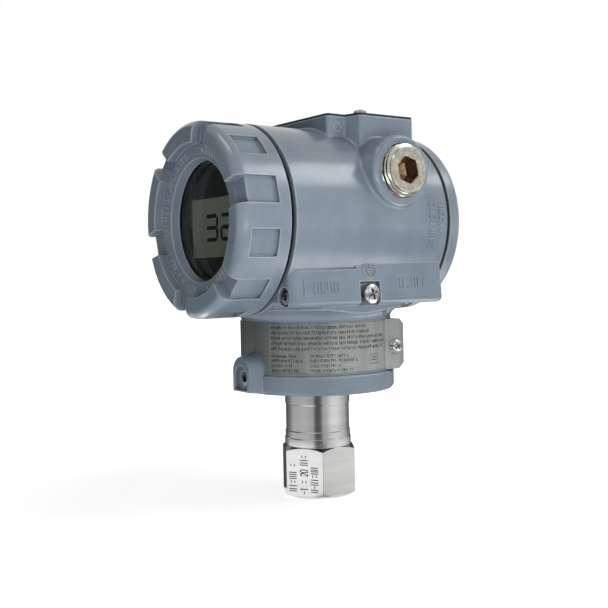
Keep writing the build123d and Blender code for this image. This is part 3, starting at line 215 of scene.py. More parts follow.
plating = {
    "light": (0.52, 0.52, 0.455, 1), "dark": (0.26, 0.265, 0.205, 1), "valleyPaintedShade": (0.035, 0.032, 0.022, 1),
    "oil": (0.16, 0.095, 0.06, 1), "paleOil": (0.42, 0.28, 0.20, 1), "oilShare": 0.92,
    "shift": (0.0, -15.2 * mm, -139.0 * mm),  # brings the plug's axis to zero
    "reach": 5.9 * mm, "reachFade": 2600.0, "lines": 2600.0, "markScale": 420.0,
    "valley": 1.5 * mm, "valleyShade": (3.0, 0.55, 0.95),
}


def platedSteel(name):  # pale plating with turning rings, painted shade in the thread's valleys, and a browned hexagon socket
    material, shader, place = newFinish(name, {"Metallic": 1.0})
    centred = stretched(place, (0.0, 1.0, 1.0), plating["shift"])
    away = centred.node("ShaderNodeVectorMath", {"operation": "LENGTH"}, {0: centred}, 1)
    rings = noise(away.node("ShaderNodeCombineXYZ", {}, {0: away * plating["lines"]}), 1.0, 2.0, 0.6)
    marks = noise(place, plating["markScale"], 3.0, 0.65)
    inside = ((plating["reach"] - away) * plating["reachFade"]).clamp()
    body = (marks * 0.6 + rings * 0.4).ramp((0.34, plating["dark"]), (0.62, plating["light"]))
    # painted shade: the thread's valleys darken where the plug's own walls stand close
    body = shaded(body, openness(place, plating["valley"]), plating["valleyPaintedShade"], *plating["valleyShade"])
    browned = (marks * 0.8 + 0.1).ramp((0.3, plating["oil"]), (0.75, plating["paleOil"]))
    feed(shader, "Base Color", (inside * plating["oilShare"]).blend(body, browned))
    feed(shader, "Roughness", marks * 0.14 + inside * 0.12 + 0.14)
    marked = bumped(marks, common["markDepth"], rounded(place, common["metalEdge"]))
    feed(shader, "Normal", bumped(rings, common["lineDepth"], marked))
    return material


plate = {"light": (0.46, 0.49, 0.475, 1), "dark": (0.31, 0.33, 0.32, 1),
         "brush": (30.0, 30.0, 5200.0), "patch": (220.0, 220.0, 14.0)}


def brushedPlate(name):
    material, shader, place = newFinish(name, {"Metallic": 0.9})
    brushed = noise(stretched(place, plate["brush"]), 1.0, 3.0, 0.7)
    patches = noise(stretched(place, plate["patch"]), 1.0, 2.0, 0.6)
    feed(shader, "Base Color", (brushed * 0.45 + patches * 0.55).ramp((0.34, plate["dark"]), (0.62, plate["light"])))
    feed(shader, "Roughness", brushed * 0.12 + patches * 0.10 + 0.24)
    feed(shader, "Normal", bumped(brushed, common["lineDepth"]))
    return material


def plainFinish(name, colour, roughness, metallic=0.0, grain=900.0, depth=common["lineDepth"], spread=0.25, gloss=0.5):
    material, shader, place = newFinish(name, {"Metallic": metallic, "Specular IOR Level": gloss})
    fine = noise(place, grain, 3.0, 0.6)
    low = tuple(c * (1 - spread) for c in colour)
    high = tuple(min(1.0, c * (1 + spread)) for c in colour)
    feed(shader, "Base Color", fine.ramp((0.3, low), (0.7, high)))
    feed(shader, "Roughness", fine * 0.12 + (roughness - 0.06))
    feed(shader, "Normal", bumped(fine, depth))
    return material


def clearGlass(name):
    material, shader, place = newFinish(name, {"Base Color": (0.93, 0.95, 0.94, 1), "Roughness": 0.0, "IOR": 1.5,
                                               "Transmission Weight": 1.0})
    feed(shader, "Roughness", noise(place, 300.0, 2.0).ramp((0.55, (0, 0, 0)), (0.9, (0.04, 0.04, 0.04))))
    return material


finishes = {
    "painted_casting": paintedCasting("paintedCasting"),
    "turned_steel": turnedSteel("turnedSteel"),
    "gold_pins": brightSteel("goldPins", (0.85, 0.66, 0.28, 1), (0.6, 0.44, 0.16, 1)),
    "black_rubber": plainFinish("blackRubber", (0.008, 0.008, 0.009), 0.75, spread=0.4, gloss=0.2),
    "grey_plastic": plainFinish("greyPlastic", (0.16, 0.165, 0.17), 0.5),
    "screw_steel": brightSteel("screwSteel", (0.64, 0.64, 0.63, 1), (0.30, 0.30, 0.30, 1), 0.16),
    "plate_steel": brushedPlate("brushedPlate"),
    "plated_plug": platedSteel("platedPlug"),
    "black_plastic": plainFinish("blackPlastic", (0.012, 0.0115, 0.0115), 0.38, spread=0.3),
    "circuit_board": plainFinish("circuitBoard", (0.02, 0.11, 0.045), 0.4),
    "brass_parts": brightSteel("brassParts", (0.74, 0.60, 0.30, 1), (0.48, 0.36, 0.15, 1)),
    "display_glass": plainFinish("displayGlass", (0.235, 0.262, 0.205), 0.3, grain=2400.0, depth=0.001 * mm,
                                 spread=0.08),
    "dark_plate": plainFinish("darkPlate", (0.030, 0.034, 0.038), 0.42, metallic=0.4),
    "window_glass": clearGlass("windowGlass"),
    # beyond the slots: for the pieces made here, and a darker steel for the earth clamp, its washer and the cover
    # plate's screw
    "markInk": plainFinish("markInk", (0.035, 0.036, 0.038), 0.5, metallic=0.3),
    "segmentInk": plainFinish("segmentInk", (0.010, 0.011, 0.010), 0.8, gloss=0.1),
    "markPaint": paintedCasting("markPaint", (0.40, 0.45, 0.50, 1)),
    "plateInk": plainFinish("plateInk", (0.028, 0.03, 0.03), 0.5),
    "darkerSteel": brightSteel("darkerSteel", (0.34, 0.35, 0.35, 1), (0.13, 0.135, 0.14, 1), 0.3, 900.0),
}
finishOf = {"earth_clamp": "darkerSteel", "earth_spring_washer": "darkerSteel"}
slotOf = {part["node"]: part["material_slot"] for part in frame["record"]["subparts"]}
for node, thing in nodes.items():
    thing.data.materials.clear()
    thing.data.materials.append(finishes[finishOf.get(node, slotOf[node])])
print("finishes on", len(nodes), "nodes")


class Shape:  # vertices in millimetres and faces of one piece
    def __init__(self):
        self.points, self.faces, self.count = [], [], 0

    def add(self, points, faces):  # faces count from the first of these points
        points = np.asarray(points, float).reshape(-1, 3)
        self.points.append(points)
        self.faces += [tuple(int(i) + self.count for i in face) for face in faces]
        self.count += len(points)

    def rings(self, points):  # rows x columns x 3, each row a closed ring; faces look to column x row direction
        rows, columns = points.shape[:2]
        i, j = np.meshgrid(np.arange(rows - 1), np.arange(columns), indexing="ij")
        k = (j + 1) % columns
        quads = np.stack([i * columns + j, i * columns + k, (i + 1) * columns + k, (i + 1) * columns + j], -1)
        self.add(points, quads.reshape(-1, 4))

    def lathe(self, rows, origin, axis, side, steps, capped=True):
        # point = origin + axis * along + (cos(angle) * side + sin(angle) * other) * radius, for rows of
        # (along, radius); both may be one number or one per angle
        axis, side = np.array(axis, float), np.array(side, float)
        other = np.cross(axis, side)
        angle = np.arange(steps) * 2 * math.pi / steps
        around = np.cos(angle)[:, None] * side + np.sin(angle)[:, None] * other
        rings = [np.asarray(origin) + np.broadcast_to(along, steps)[:, None] * axis
                 + np.broadcast_to(radius, steps)[:, None] * around for along, radius in rows]
        start = self.count
        self.rings(np.array(rings))
        for cap in (0, len(rings) - 1) if capped else ():
            ring = start + cap * steps + np.arange(steps) - self.count
            after = np.roll(ring, -1)
            pair = (after, ring) if cap == 0 else (ring, after)
            self.add(rings[cap].mean(0), np.stack([*pair, 0 * ring], -1))

    def bar(self, start, end, normal, width, height):  # a thin box from start to end, raised along the normal
        start, end, normal = (np.array(v, float) for v in (start, end, normal))
        along = (end - start) / np.linalg.norm(end - start)
        across = np.cross(along, normal)
        across *= width / 2 / np.linalg.norm(across)
        low = [start - across, start + across, end + across, end - across]
        high = [corner + normal * height for corner in low]
        self.add(low + high, [(3, 2, 1, 0), (4, 5, 6, 7), (0, 1, 5, 4), (1, 2, 6, 5), (2, 3, 7, 6), (3, 0, 4, 7)])


def piece(name, shape, finish, body, sharp):  # edges that bend more than sharp degrees stay crisp
    mesh = bpy.data.meshes.new(name)
    mesh.from_pydata((np.concatenate(shape.points) * mm).tolist(), [], shape.faces)
    mesh.validate()
    mesh.materials.append(bpy.data.materials[finish])
    mesh.polygons.foreach_set("use_smooth", [True] * len(mesh.polygons))
    mesh.set_sharp_from_angle(angle=math.radians(sharp))
    made = bpy.data.objects.new(name, mesh)
    bpy.context.scene.collection.objects.link(made)
    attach(made, body)
    return made


def hexRadius(flats, steps, turn):
    # distance to a hexagon's side: half the flats over the cosine of the angle from the middle of the nearest side
    angle = np.arange(steps) * 2 * math.pi / steps - math.radians(turn)
    return flats / 2 / np.cos((angle + math.pi / 6) % (math.pi / 3) - math.pi / 6)


def crossRadius(reach, halfWidth, steps, turn):
    # distance to the edge of a plus sign: the further edge of two bars that cross, reach long and halfWidth wide
    angle = np.arange(steps) * 2 * math.pi / steps - math.radians(turn)
    c, s = np.abs(np.cos(angle)) + 1e-9, np.abs(np.sin(angle)) + 1e-9
    return np.maximum(np.minimum(reach / c, halfWidth / s), np.minimum(reach / s, halfWidth / c))


def evenly(first, last, count):
    return [first + (last - first) * k / (count - 1) for k in range(count)]


# mm along the plug's axis, and radii
plug = {
    "centre": (0.0, 15.2, 139.0), "inner": 30.8, "face": 46.2, "steps": 192,
    "nose": ((0.0, 8.6), (0.8, 9.6)),  # from the inner end
    "pitch": 1.81, "root": 9.62, "crest": 11.05, "taper": 0.045, "flank": (1.45, 3.1),
    "mouth": 41.1, "boreCrest": 10.26,  # behind the mouth of the entry the thread stays inside the bore
    "threadFrom": 1.2, "threadTo": 45.45, "rowStep": 0.16, "fadeTo": 45.5, "fade": 0.7, "fadeDrop": 0.35,
    "lip": 9.4, "lipRows": ((0.45, 0.12), (0.12, 0.0), (0.0, -0.35)),  # back from the face, and out from the lip
    "flats": 10.0, "turn": 12.0, "depth": 7.5, "draft": 0.985, "drill": (0.9, 0.55),
    "worn": 0.4, "wornRows": ((0.1, 0.18), (0.4, 0.0)),
}


def entryPlug():
    # radius = root + (crest - root) * flank, where flank is a trapezoid of the phase x / pitch - turn, so that it
    # climbs one pitch a turn; across the face the circle of the lip is mixed with the hexagon of the socket
    steps, inner, face, lip, root = (plug[k] for k in ("steps", "inner", "face", "lip", "root"))
    turns = np.arange(steps) / steps
    rows = [(inner + along, radius) for along, radius in plug["nose"]]
    for x in np.arange(inner + plug["threadFrom"], plug["threadTo"], plug["rowStep"]):
        phase = (x / plug["pitch"] - turns) % 1.0
        flank = np.clip(plug["flank"][0] - plug["flank"][1] * np.abs(phase - 0.5), 0.0, 1.0)
        crest = plug["boreCrest"] if x < plug["mouth"] else plug["crest"] - plug["taper"] * (x - plug["mouth"])
        ending = min(1.0, max(0.0, (plug["fadeTo"] - x) / plug["fade"]))
        rows.append((x, root - plug["fadeDrop"] * (1 - ending) + (crest - root) * flank * ending))
    rows += [(face - back, lip + out) for back, out in plug["lipRows"]]
    edge = rows[-1][1]
    socket = hexRadius(plug["flats"], steps, plug["turn"])
    rows += [(face, edge * (1 - s) + (socket + plug["worn"]) * s) for s in (0.25, 0.5, 0.75, 1.0)]
    rows += [(face - back, socket + out) for back, out in plug["wornRows"]]
    bottom = face - plug["depth"]
    rows += [(bottom, socket * plug["draft"]), (bottom - plug["drill"][0], socket * plug["drill"][1])]
    shape = Shape()
    shape.lathe(rows, plug["centre"], (1, 0, 0), (0, 1, 0), steps)
    made = piece("entryPlugThreaded", shape, "platedPlug", "housing", 40)
    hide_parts("entry_plug")


# pan heads: shares of the head's radius and height, but the tip, the rim and the insets in mm
pan = {
    "steps": 192, "arm": 0.58, "armHalf": 0.125, "mouth": 0.62, "mouthHalf": 0.17, "dome": 0.62,
    "tip": 0.6, "tipShare": 0.8, "rim": ((0.0, 0.25), (0.12, 0.06), (0.3, 0.0)),
    "shoulder": ((0.42, 0.0), (0.52, 0.08)), "domeRows": (0.96, 0.66, 7), "mouthRows": (0.35, 0.7, 1.0),
    "recessLip": 0.06, "recess": ((0.62, 0.96), (0.25, 0.5)),
}


def crossScrew(name, head, axis, side, radius, height, shankR, shankLength, turn, finish="screwSteel"):
    # the dome over the underside's centre is height * sqrt(1 - dome * (r / radius)^2); from its last circle the
    # rows are mixed towards a plus sign, which goes down into the head
    def rise(r):
        return height * np.sqrt(np.clip(1 - pan["dome"] * (np.asarray(r) / radius) ** 2, 0, 1))

    steps = pan["steps"]
    cross = crossRadius(radius * pan["arm"], radius * pan["armHalf"], steps, turn)
    mouth = crossRadius(radius * pan["mouth"], radius * pan["mouthHalf"], steps, turn)
    mouth = np.clip(mouth, 0, radius * pan["mouth"])
    first, last, count = pan["domeRows"]
    rows = [(-shankLength, shankR * pan["tipShare"]), (-shankLength + pan["tip"], shankR), (0.0, shankR)]
    rows += [(up, radius - inset) for up, inset in pan["rim"]]
    rows += [(height * share, radius - inset) for share, inset in pan["shoulder"]]
    rows += [(rise(radius * s), radius * s) for s in evenly(first, last, count)]
    for s in pan["mouthRows"]:
        reach = radius * last * (1 - s) + mouth * s
        rows.append((rise(reach), reach))
    rows += [(rise(cross) - pan["recessLip"], cross)]
    rows += [(height * deep, cross * share) for deep, share in pan["recess"]]
    shape = Shape()
    shape.lathe(rows, head, axis, side, steps)
    return piece(name, shape, finish, "housing", 38)


# head height and shank radius in mm, and the turn of the cross
screws = {"earth": (3.0, 1.9, 20), "cover": (2.2, 1.4, 33), "plate": (2.1, 1.4), "plateShank": 6.0,
          "plateSides": (("Right", 1, 35), ("Left", -1, 12))}
washer = {"steps": 96, "teeth": 12, "outer": 3.35, "tooth": 0.25, "inner": 1.6, "thick": 0.45, "sunk": 0.02}


def middle(node):  # centre and corners of a node's box, in mm
    low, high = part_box(node)
    return [(a + b) / 2 / mm for a, b in zip(low, high)], [a / mm for a in low], [b / mm for b in high]


def crossScrews():
    centre, low, high = middle("earth_screw")
    head, shank, turn = screws["earth"]
    made = crossScrew("earthScrewPan", (high[0] - head, centre[1], centre[2]), (1, 0, 0), (0, 1, 0),
                      (high[2] - low[2]) / 2, head, shank, high[0] - head - low[0], turn)
    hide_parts("earth_screw")
    centre, low, high = middle("key_cover_screw")
    head, shank, turn = screws["cover"]
    made = crossScrew("coverPlateScrewPan", (centre[0], centre[1], high[2] - head), (0, 0, 1), (1, 0, 0),
                      (high[0] - low[0]) / 2, head, shank, high[2] - head - low[2], turn, "darkerSteel")
    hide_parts("key_cover_screw")
    centre, low, high = middle("nameplate_screws")
    head, shank = screws["plate"]
    # the washer's rim is a square wave round the circle
    wave = np.arange(washer["steps"]) * 2 * math.pi / washer["steps"] * washer["teeth"]
    rim = washer["outer"] + washer["tooth"] * np.sign(np.sin(wave))
    inner, thick = washer["inner"], washer["thick"]
    for sideName, way, turn in screws["plateSides"]:
        under = way * (high[0] - head)
        made = crossScrew("plateScrew" + sideName, (under, centre[1], centre[2]), (way, 0, 0), (0, way, 0),
                          (high[2] - low[2]) / 2, head, shank, screws["plateShank"], turn)
        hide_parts("nameplate_screws")
        shape = Shape()
        spot = (under - way * washer["sunk"], centre[1], centre[2])
        shape.lathe([(0.0, inner), (0.0, rim), (thick, rim), (thick, inner), (0.0, inner)], spot,
                    (way, 0, 0), (0, way, 0), washer["steps"], False)
        piece("toothWasher" + sideName, shape, "screwSteel", "housing", 25)


# seven segment digits of the liquid crystal, in mm; places gives each digit's left edge and lit segments
digits = {"plane": -46.30, "thick": 0.05, "low": 111.1, "height": 11.4, "width": 10.5, "stroke": 1.6, "gap": 0.14,
          "places": ((-8.7, "abcdg"), (3.6, "abdeg"))}


def segmentOutline(which, left, low):
    # a bar between two corners of the digit, with both ends cut to a point: (along, across) of six corners
    w, h, t, g = digits["width"], digits["height"], digits["stroke"], digits["gap"]
    x0, x1, y0, y1, y2 = left + t / 2, left + w - t / 2, low + t / 2, low + h / 2, low + h - t / 2
    (ax, ay), (bx, by) = {
        "a": ((x0, y2), (x1, y2)), "b": ((x1, y1), (x1, y2)), "c": ((x1, y0), (x1, y1)), "d": ((x0, y0), (x1, y0)),
        "e": ((x0, y0), (x0, y1)), "f": ((x0, y1), (x0, y2)), "g": ((x0, y1), (x1, y1))}[which]
    length = math.hypot(bx - ax, by - ay)
    ux, uy = (bx - ax) / length, (by - ay) / length
    corners = ((g, 0), (g + t / 2, t / 2), (length - g - t / 2, t / 2), (length - g, 0),
               (length - g - t / 2, -t / 2), (g + t / 2, -t / 2))
    return [(ax + ux * s - uy * o, ay + uy * s + ux * o) for s, o in corners]


def displayDigits():
    shape = Shape()
    for left, lit in digits["places"]:
        for which in lit:
            outline = segmentOutline(which, left, digits["low"])
            n = len(outline)
            points = [(x, digits["plane"] + back, z) for back in (0.0, digits["thick"]) for x, z in outline]
            sides = [(k, (k + 1) % n, n + (k + 1) % n, n + k) for k in range(n)]
            shape.add(points, [tuple(range(n))[::-1], tuple(range(n, 2 * n))] + sides)
    piece("displayDigits", shape, "segmentInk", "housing", 30)


# numbers and plain bars drawn as single strokes in a unit square
strokes = {
    "0": [[(.25, 0), (.75, 0), (1, .2), (1, .8), (.75, 1), (.25, 1), (0, .8), (0, .2), (.25, 0)]],
    "1": [[(.15, .8), (.5, 1), (.5, 0)]],
    "2": [[(0, .8), (.25, 1), (.75, 1), (1, .8), (1, .62), (0, 0), (1, 0)]],
    "-": [[(.1, .5), (.9, .5)]],
    " ": [],
    "|": [[(.5, 0), (.5, 1)]],
    ":": [[(.1, 0), (.1, 1)], [(.9, 0), (.9, 1)]],
    "=": [[(.1, .25), (.9, .25)], [(.1, .75), (.9, .75)]],
}
hexMarks = {
    "flats": 30.0, "normal": -59.3, "tall": 3.3, "wide": 1.12,
    "line": 0.42, "lineEnds": 0.35, "sunk": 0.02, "stand": 0.03,
    # characters, distance of the column from the corner, height of the first character, step
    "rows": ((":|=:: =", 3.0, 3.0, 1.78), ("-1 = 20 :|=", 8.3, 2.0, 1.56), (":-:|=::", 13.2, 3.0, 1.60)),
}


def hexNumbers():
    # spot = the face's left corner + across * (column, less the stroke's height) + upright * (base + its width):
    # the characters read upwards, so their tops point to the left of the face
    turn = math.radians(hexMarks["normal"])
    normal = np.array((math.cos(turn), math.sin(turn), 0.0))
    across = np.array((-math.sin(turn), math.cos(turn), 0.0))
    upright = np.array((0.0, 0.0, 1.0))
    corner = normal * (hexMarks["flats"] / 2) - across * (hexMarks["flats"] / 2 * math.tan(math.pi / 6))
    sunk, line, tall, wide = normal * hexMarks["sunk"], hexMarks["line"], hexMarks["tall"], hexMarks["wide"]
    shape = Shape()
    for text, column, start, step in hexMarks["rows"]:
        for k, sign in enumerate(text):
            base = start + k * step
            for path in strokes[sign]:
                spots = [corner + across * (column + tall * (0.5 - v)) + upright * (base + wide * u) for u, v in path]
                for a, b in zip(spots, spots[1:]):
                    longer = (b - a) / np.linalg.norm(b - a) * line * hexMarks["lineEnds"]
                    shape.bar(a - longer - sunk, b + longer - sunk, normal, line, hexMarks["stand"])
    piece("hexagonNumbers", shape, "markInk", "sensor", 30)


# print on the nameplate: plain broken bars
plateMarks = {
    "radius": 33.4, "stand": 0.012, "sunk": 0.02, "thick": 0.03, "bend": 3, "seed": 7,
    "tall": 1.12, "glyph": 0.62, "gap": 0.30, "groupGap": 0.55, "groupLength": (3, 9), "line": 0.21,
    # first and last angle in degrees, and height
    "rows": ((19.5, 92, 75.1), (19.5, 95, 72.9), (19.5, 112, 70.7), (19.5, 113, 68.5), (19.5, 111, 66.3),
             (19.5, 40, 63.3), (49, 76, 63.3), (19.5, 43, 61.4), (49, 84, 61.4), (19.5, 37, 59.3), (49, 70, 59.3),
             (19.5, 41, 57.3), (49, 80, 57.3)),
    "frame": (17.0, 118.0, 56.15, 76.6), "frameLine": 0.13,
    "badge": (100.5, 61.0), "badgeHalf": (2.6, 1.9), "badgeLine": 0.2,
    "badgeBars": (0.7, -0.4), "badgeBarShare": 0.55, "badgeBarLine": 0.35,
}


def plateSpot(turn, z):  # a point on the bent plate: (r * sin(turn), -r * cos(turn), z), and its normal
    r = plateMarks["radius"] + plateMarks["stand"]
    return np.array((r * math.sin(turn), -r * math.cos(turn), z)), np.array((math.sin(turn), -math.cos(turn), 0.0))


def plateStroke(shape, start, end, width=plateMarks["line"]):
    # from (angle, z) to (angle, z) in straight parts, short enough to follow the bend
    parts = int(abs(end[0] - start[0]) / math.radians(plateMarks["bend"])) + 1
    for k in range(parts):
        a = [start[i] + (end[i] - start[i]) * k / parts for i in (0, 1)]
        b = [start[i] + (end[i] - start[i]) * (k + 1) / parts for i in (0, 1)]
        (spotA, normalA), (spotB, normalB) = plateSpot(*a), plateSpot(*b)
        shape.bar(spotA - normalA * plateMarks["sunk"], spotB - normalB * plateMarks["sunk"], (normalA + normalB) / 2,
                  width, plateMarks["thick"])


def platePrint():
    # along each row a draw gives the cells of the next group, and then one of five patterns of strokes for each cell
    chance = np.random.default_rng(plateMarks["seed"])
    shape = Shape()
    radius, tall = plateMarks["radius"], plateMarks["tall"]
    wide = plateMarks["glyph"] / radius
    for first, last, z in plateMarks["rows"]:
        turn, cells = math.radians(first), 0
        low, high = z - tall / 2, z + tall / 2
        while turn < math.radians(last):
            if cells == 0:
                cells = int(chance.integers(*plateMarks["groupLength"]))
                turn += plateMarks["groupGap"] / radius
            kind = chance.integers(0, 5)
            if kind != 1:
                plateStroke(shape, (turn, low), (turn, high))
            if kind in (0, 2):
                plateStroke(shape, (turn + wide, low), (turn + wide, high))
            if kind in (1, 3):
                plateStroke(shape, (turn, high), (turn + wide, high))
                plateStroke(shape, (turn + wide / 2, low), (turn + wide / 2, high))
            if kind in (2, 4):
                plateStroke(shape, (turn, z), (turn + wide, z))
                plateStroke(shape, (turn, low), (turn + wide, low))
            turn += wide + plateMarks["gap"] / radius
            cells -= 1
    left, right, low, high = plateMarks["frame"]
    left, right = math.radians(left), math.radians(right)
    corners = [(left, low), (right, low), (right, high), (left, high)]
    for a, b in zip(corners, corners[1:] + corners[:1]):
        plateStroke(shape, a, b, plateMarks["frameLine"])
    # the badge: a square with two bars
    turn, z = math.radians(plateMarks["badge"][0]), plateMarks["badge"][1]
    half, rise = plateMarks["badgeHalf"][0] / radius, plateMarks["badgeHalf"][1]
    for way in (1, -1):
        plateStroke(shape, (turn - half, z + way * rise), (turn + half, z + way * rise), plateMarks["badgeLine"])
    for way in (-1, 1):
        plateStroke(shape, (turn + way * half, z - rise), (turn + way * half, z + rise), plateMarks["badgeLine"])
    reach = half * plateMarks["badgeBarShare"]
    for up in plateMarks["badgeBars"]:
        plateStroke(shape, (turn - reach, z + up), (turn + reach, z + up), plateMarks["badgeBarLine"])
    piece("nameplatePrint", shape, "plateInk", "housing", 30)


# surfaces that carry cast marks; each function gives a point and its normal
barrel = {"z": 119.5, "frontY": -37.1, "frontR": 40.3, "rearY": 44.0, "rearR": 39.4}
dish = {"radius": 28.3, "y": -57.92, "slope": 0.164}
shelf = {"x": 36.5, "z": 83.7, "draft": 5, "lean": 0.087}


def onBarrel(u, v):  # u down the side in mm, v along the axis; the radius shrinks evenly from front to rear
    grown, length = barrel["rearR"] - barrel["frontR"], barrel["rearY"] - barrel["frontY"]
    radius = barrel["frontR"] + (v - barrel["frontY"]) * grown / length
    turn = -u / radius
    return (radius * math.cos(turn), v, barrel["z"] + radius * math.sin(turn)), (math.cos(turn), 0, math.sin(turn))


def onDish(u, v):  # u along the arc in mm, v outwards; the dish falls back evenly with v
    radius = dish["radius"] + v
    turn = u / dish["radius"]
    return (radius * math.sin(turn), dish["y"] - v * dish["slope"], barrel["z"] + radius * math.cos(turn)), (0, -1, 0)


def onShelf(u, v):  # u along the barrel's axis, v the height; the side leans in by its draft
    return (shelf["x"] - (v - shelf["z"]) * math.tan(math.radians(shelf["draft"])), u, v), (1, 0, shelf["lean"])


# raised marks cast into the paint: plain dashes and rings
castMarks = {
    "seed": 5, "height": 0.40, "line": 0.42, "sunk": 0.15, "plainLine": 0.4,
    "wide": 0.55, "crossFrom": 0.4, "crossAt": (0.1, 0.9),  # shares of the pitch, of the width and of the height
    # surface, start, height across, cells, pitch, tall
    "rows": ((onBarrel, -9.6, 34.2, 9, 2.55, 3.3), (onBarrel, -5.6, 39.4, 5, 2.35, 3.1),
             (onShelf, -26.0, 91.3, 4, 3.3, 4.4), (onShelf, 18.6, 92.4, 5, 3.3, 4.2)),
    # out from the block, and radius
    "ring": ((-0.2, 2.2), (0.22, 2.15), (0.3, 1.95), (0.3, 1.75), (0.22, 1.55), (-0.2, 1.5), (-0.2, 2.2)),
    "ringSpot": (19.55, -1.1, 158.8), "ringSteps": 48,
    "tick": (-31.2, 88.0, 94.6),
    "earthU": 2.3, "earthBars": ((1.9, 98.3), (1.25, 97.3), (0.6, 96.3)), "earthTop": 100.4,
    "dishArcs": ((-172, -112), (-100, -12), (0, 62), (78, 170)), "dishPitch": 2.15, "dishTall": 2.7,
}


def markRow(shape, chance, surface, start, across, cells, pitch, tall):
    # cell k starts at start + k * pitch; a draw picks which bars of a box stand in it
    wide = pitch * castMarks["wide"]
    low, high = across - tall / 2, across + tall / 2
    sunk, line, height = castMarks["sunk"], castMarks["line"], castMarks["height"]
    for k in range(cells):
        kind = chance.integers(0, 5)
        u = start + k * pitch
        bars = []
        if kind in (0, 1, 3):
            bars.append(((u, low), (u, high)))
        if kind in (0, 2):
            bars.append(((u + wide, low), (u + wide, high)))
        if kind in (1, 4):
            levels = [low + tall * share for share in castMarks["crossAt"]]
            bars += [((u + wide * castMarks["crossFrom"], level), (u + wide, level)) for level in levels]
        for a, b in bars:
            (p, n), (q, m) = surface(*a), surface(*b)
            normal = (np.array(n) + np.array(m)) / 2
            shape.bar(np.array(p) - normal * sunk, np.array(q) - normal * sunk, normal, line, height + sunk)


def castRelief():
    chance = np.random.default_rng(castMarks["seed"])
    shape = Shape()
    shape.lathe(castMarks["ring"], castMarks["ringSpot"], (1, 0, 0), (0, 1, 0), castMarks["ringSteps"], False)
    for row in castMarks["rows"]:
        markRow(shape, chance, *row)
    # plain lines on the shelf: a tick, then the earth mark's three bars and stem
    tick, low, high = castMarks["tick"]
    u, bars = castMarks["earthU"], castMarks["earthBars"]
    lines = [((tick, low), (tick, high))] + [((u - half, v), (u + half, v)) for half, v in bars]
    lines += [((u, bars[0][1]), (u, castMarks["earthTop"]))]
    for a, b in lines:
        (p, normal), (q, _) = onShelf(*a), onShelf(*b)
        shape.bar(p, q, normal, castMarks["plainLine"], castMarks["height"])
    piece("castMarksHousing", shape, "paintedCasting", "housing", 50)
    shape = Shape()
    pitch, tall = castMarks["dishPitch"], castMarks["dishTall"]
    for first, last in castMarks["dishArcs"]:
        cells = int(math.radians(last - first) * dish["radius"] / pitch)
        markRow(shape, chance, onDish, math.radians(first) * dish["radius"], 0.0, cells, pitch, tall)
    piece("castMarksCover", shape, "markPaint", "display_cover", 50)


# section of the rubber lip in mm, from the barrel's rear end: along the axis, and out from the wall
seamLip = {"steps": 160, "rows": ((-0.95, -0.2), (-0.95, 0.06), (-0.75, 0.17), (0.1, 0.2), (0.3, 0.05), (0.3, -0.4),
                                  (-0.95, -0.2))}


def rearSeam():  # the rubber lip that shows between the barrel and the rear cover, turned about the barrel's axis
    shape = Shape()
    rows = [(barrel["rearY"] + along, barrel["rearR"] + out) for along, out in seamLip["rows"]]
    shape.lathe(rows, (0, 0, barrel["z"]), (0, 1, 0), (1, 0, 0), seamLip["steps"], False)
    piece("rearSeamLip", shape, "blackRubber", "housing", 40)


entryPlug()
crossScrews()
displayDigits()
hexNumbers()
platePrint()
castRelief()
rearSeam()
print("pieces built")


# the camera, worked out from the photograph: angles in degrees, focal length in pixels of the square picture
view = {"azimuth": 54.75, "elevation": 1.96, "roll": -1.11, "distance": 427.07 * mm, "side": -5.03 * mm,
        "aimHeight": 83.63 * mm, "focalPixels": 964.76, "frame": 608, "sensor": 36.0}
az, el, roll = (math.radians(view[k]) for k in ("azimuth", "elevation", "roll"))
backward = Vector((math.sin(az) * math.cos(el), -math.cos(az) * math.cos(el), math.sin(el)))
sideways = Vector((math.cos(az), math.sin(az), 0))
upward = backward.cross(sideways)
cameraRight = sideways * math.cos(roll) + upward * math.sin(roll)
cameraUp = upward * math.cos(roll) - sideways * math.sin(roll)
eye = sideways * view["side"] + Vector((0, 0, view["aimHeight"])) + backward * view["distance"]
lens = bpy.data.cameras.new("camera")
lens.sensor_width = view["sensor"]
lens.lens = view["sensor"] * view["focalPixels"] / view["frame"]
lens.clip_start = 0.01
camera = bpy.data.objects.new("camera", lens)
bpy.context.scene.collection.objects.link(camera)
camera.matrix_world = Matrix.Translation(eye) @ Matrix((cameraRight, cameraUp, backward)).transposed().to_4x4()
bpy.context.scene.camera = camera
bpy.context.scene.view_settings.view_transform = "Standard"


# floor, background and lamps, in metres
studio = {
    "worldLevel": 0.25, "floorSize": 6.0, "floorDrop": 0.0002, "floorColour": (0.80, 0.80, 0.80, 1), "floorGlow": 0.32,
    "floorLift": (0.66, 1.0, 0.10, 0.34),  # brightness near the foot and far off, and where the rise starts and ends
    # name, direction from the object, distance, width, height, radiance
    "lamps": (("keyLamp", (0.449, 0.577, 0.693), 0.90, 0.36, 0.28, 5.6),
              ("sideLamp", (0.97, 0.16, 0.06), 1.30, 1.20, 0.80, 0.36),
              ("frontLamp", (0.90, -0.42, 0.30), 1.50, 0.80, 0.60, 0.42),
              ("backLamp", (-0.75, 0.60, 0.22), 1.40, 1.40, 0.90, 0.95),
              ("topLamp", (-0.25, -0.10, 0.95), 1.20, 0.90, 0.90, 0.55)),
    # spot, direction it shines in, width, height, radiance
    "bounce": ((0.235, -0.110, 0.006), (-0.60, 0.20, 0.76), 0.26, 0.30, 3.5),
    "aim": (0, 0, 0.1),
}


def seenRays(tree):  # camera, mirror and glass rays all see the white background
    path = tree.nodes.new("ShaderNodeLightPath")
    seen = Flow(tree, path.outputs["Is Camera Ray"]) + Flow(tree, path.outputs["Is Glossy Ray"])
    return (seen + Flow(tree, path.outputs["Is Transmission Ray"])).clamp()


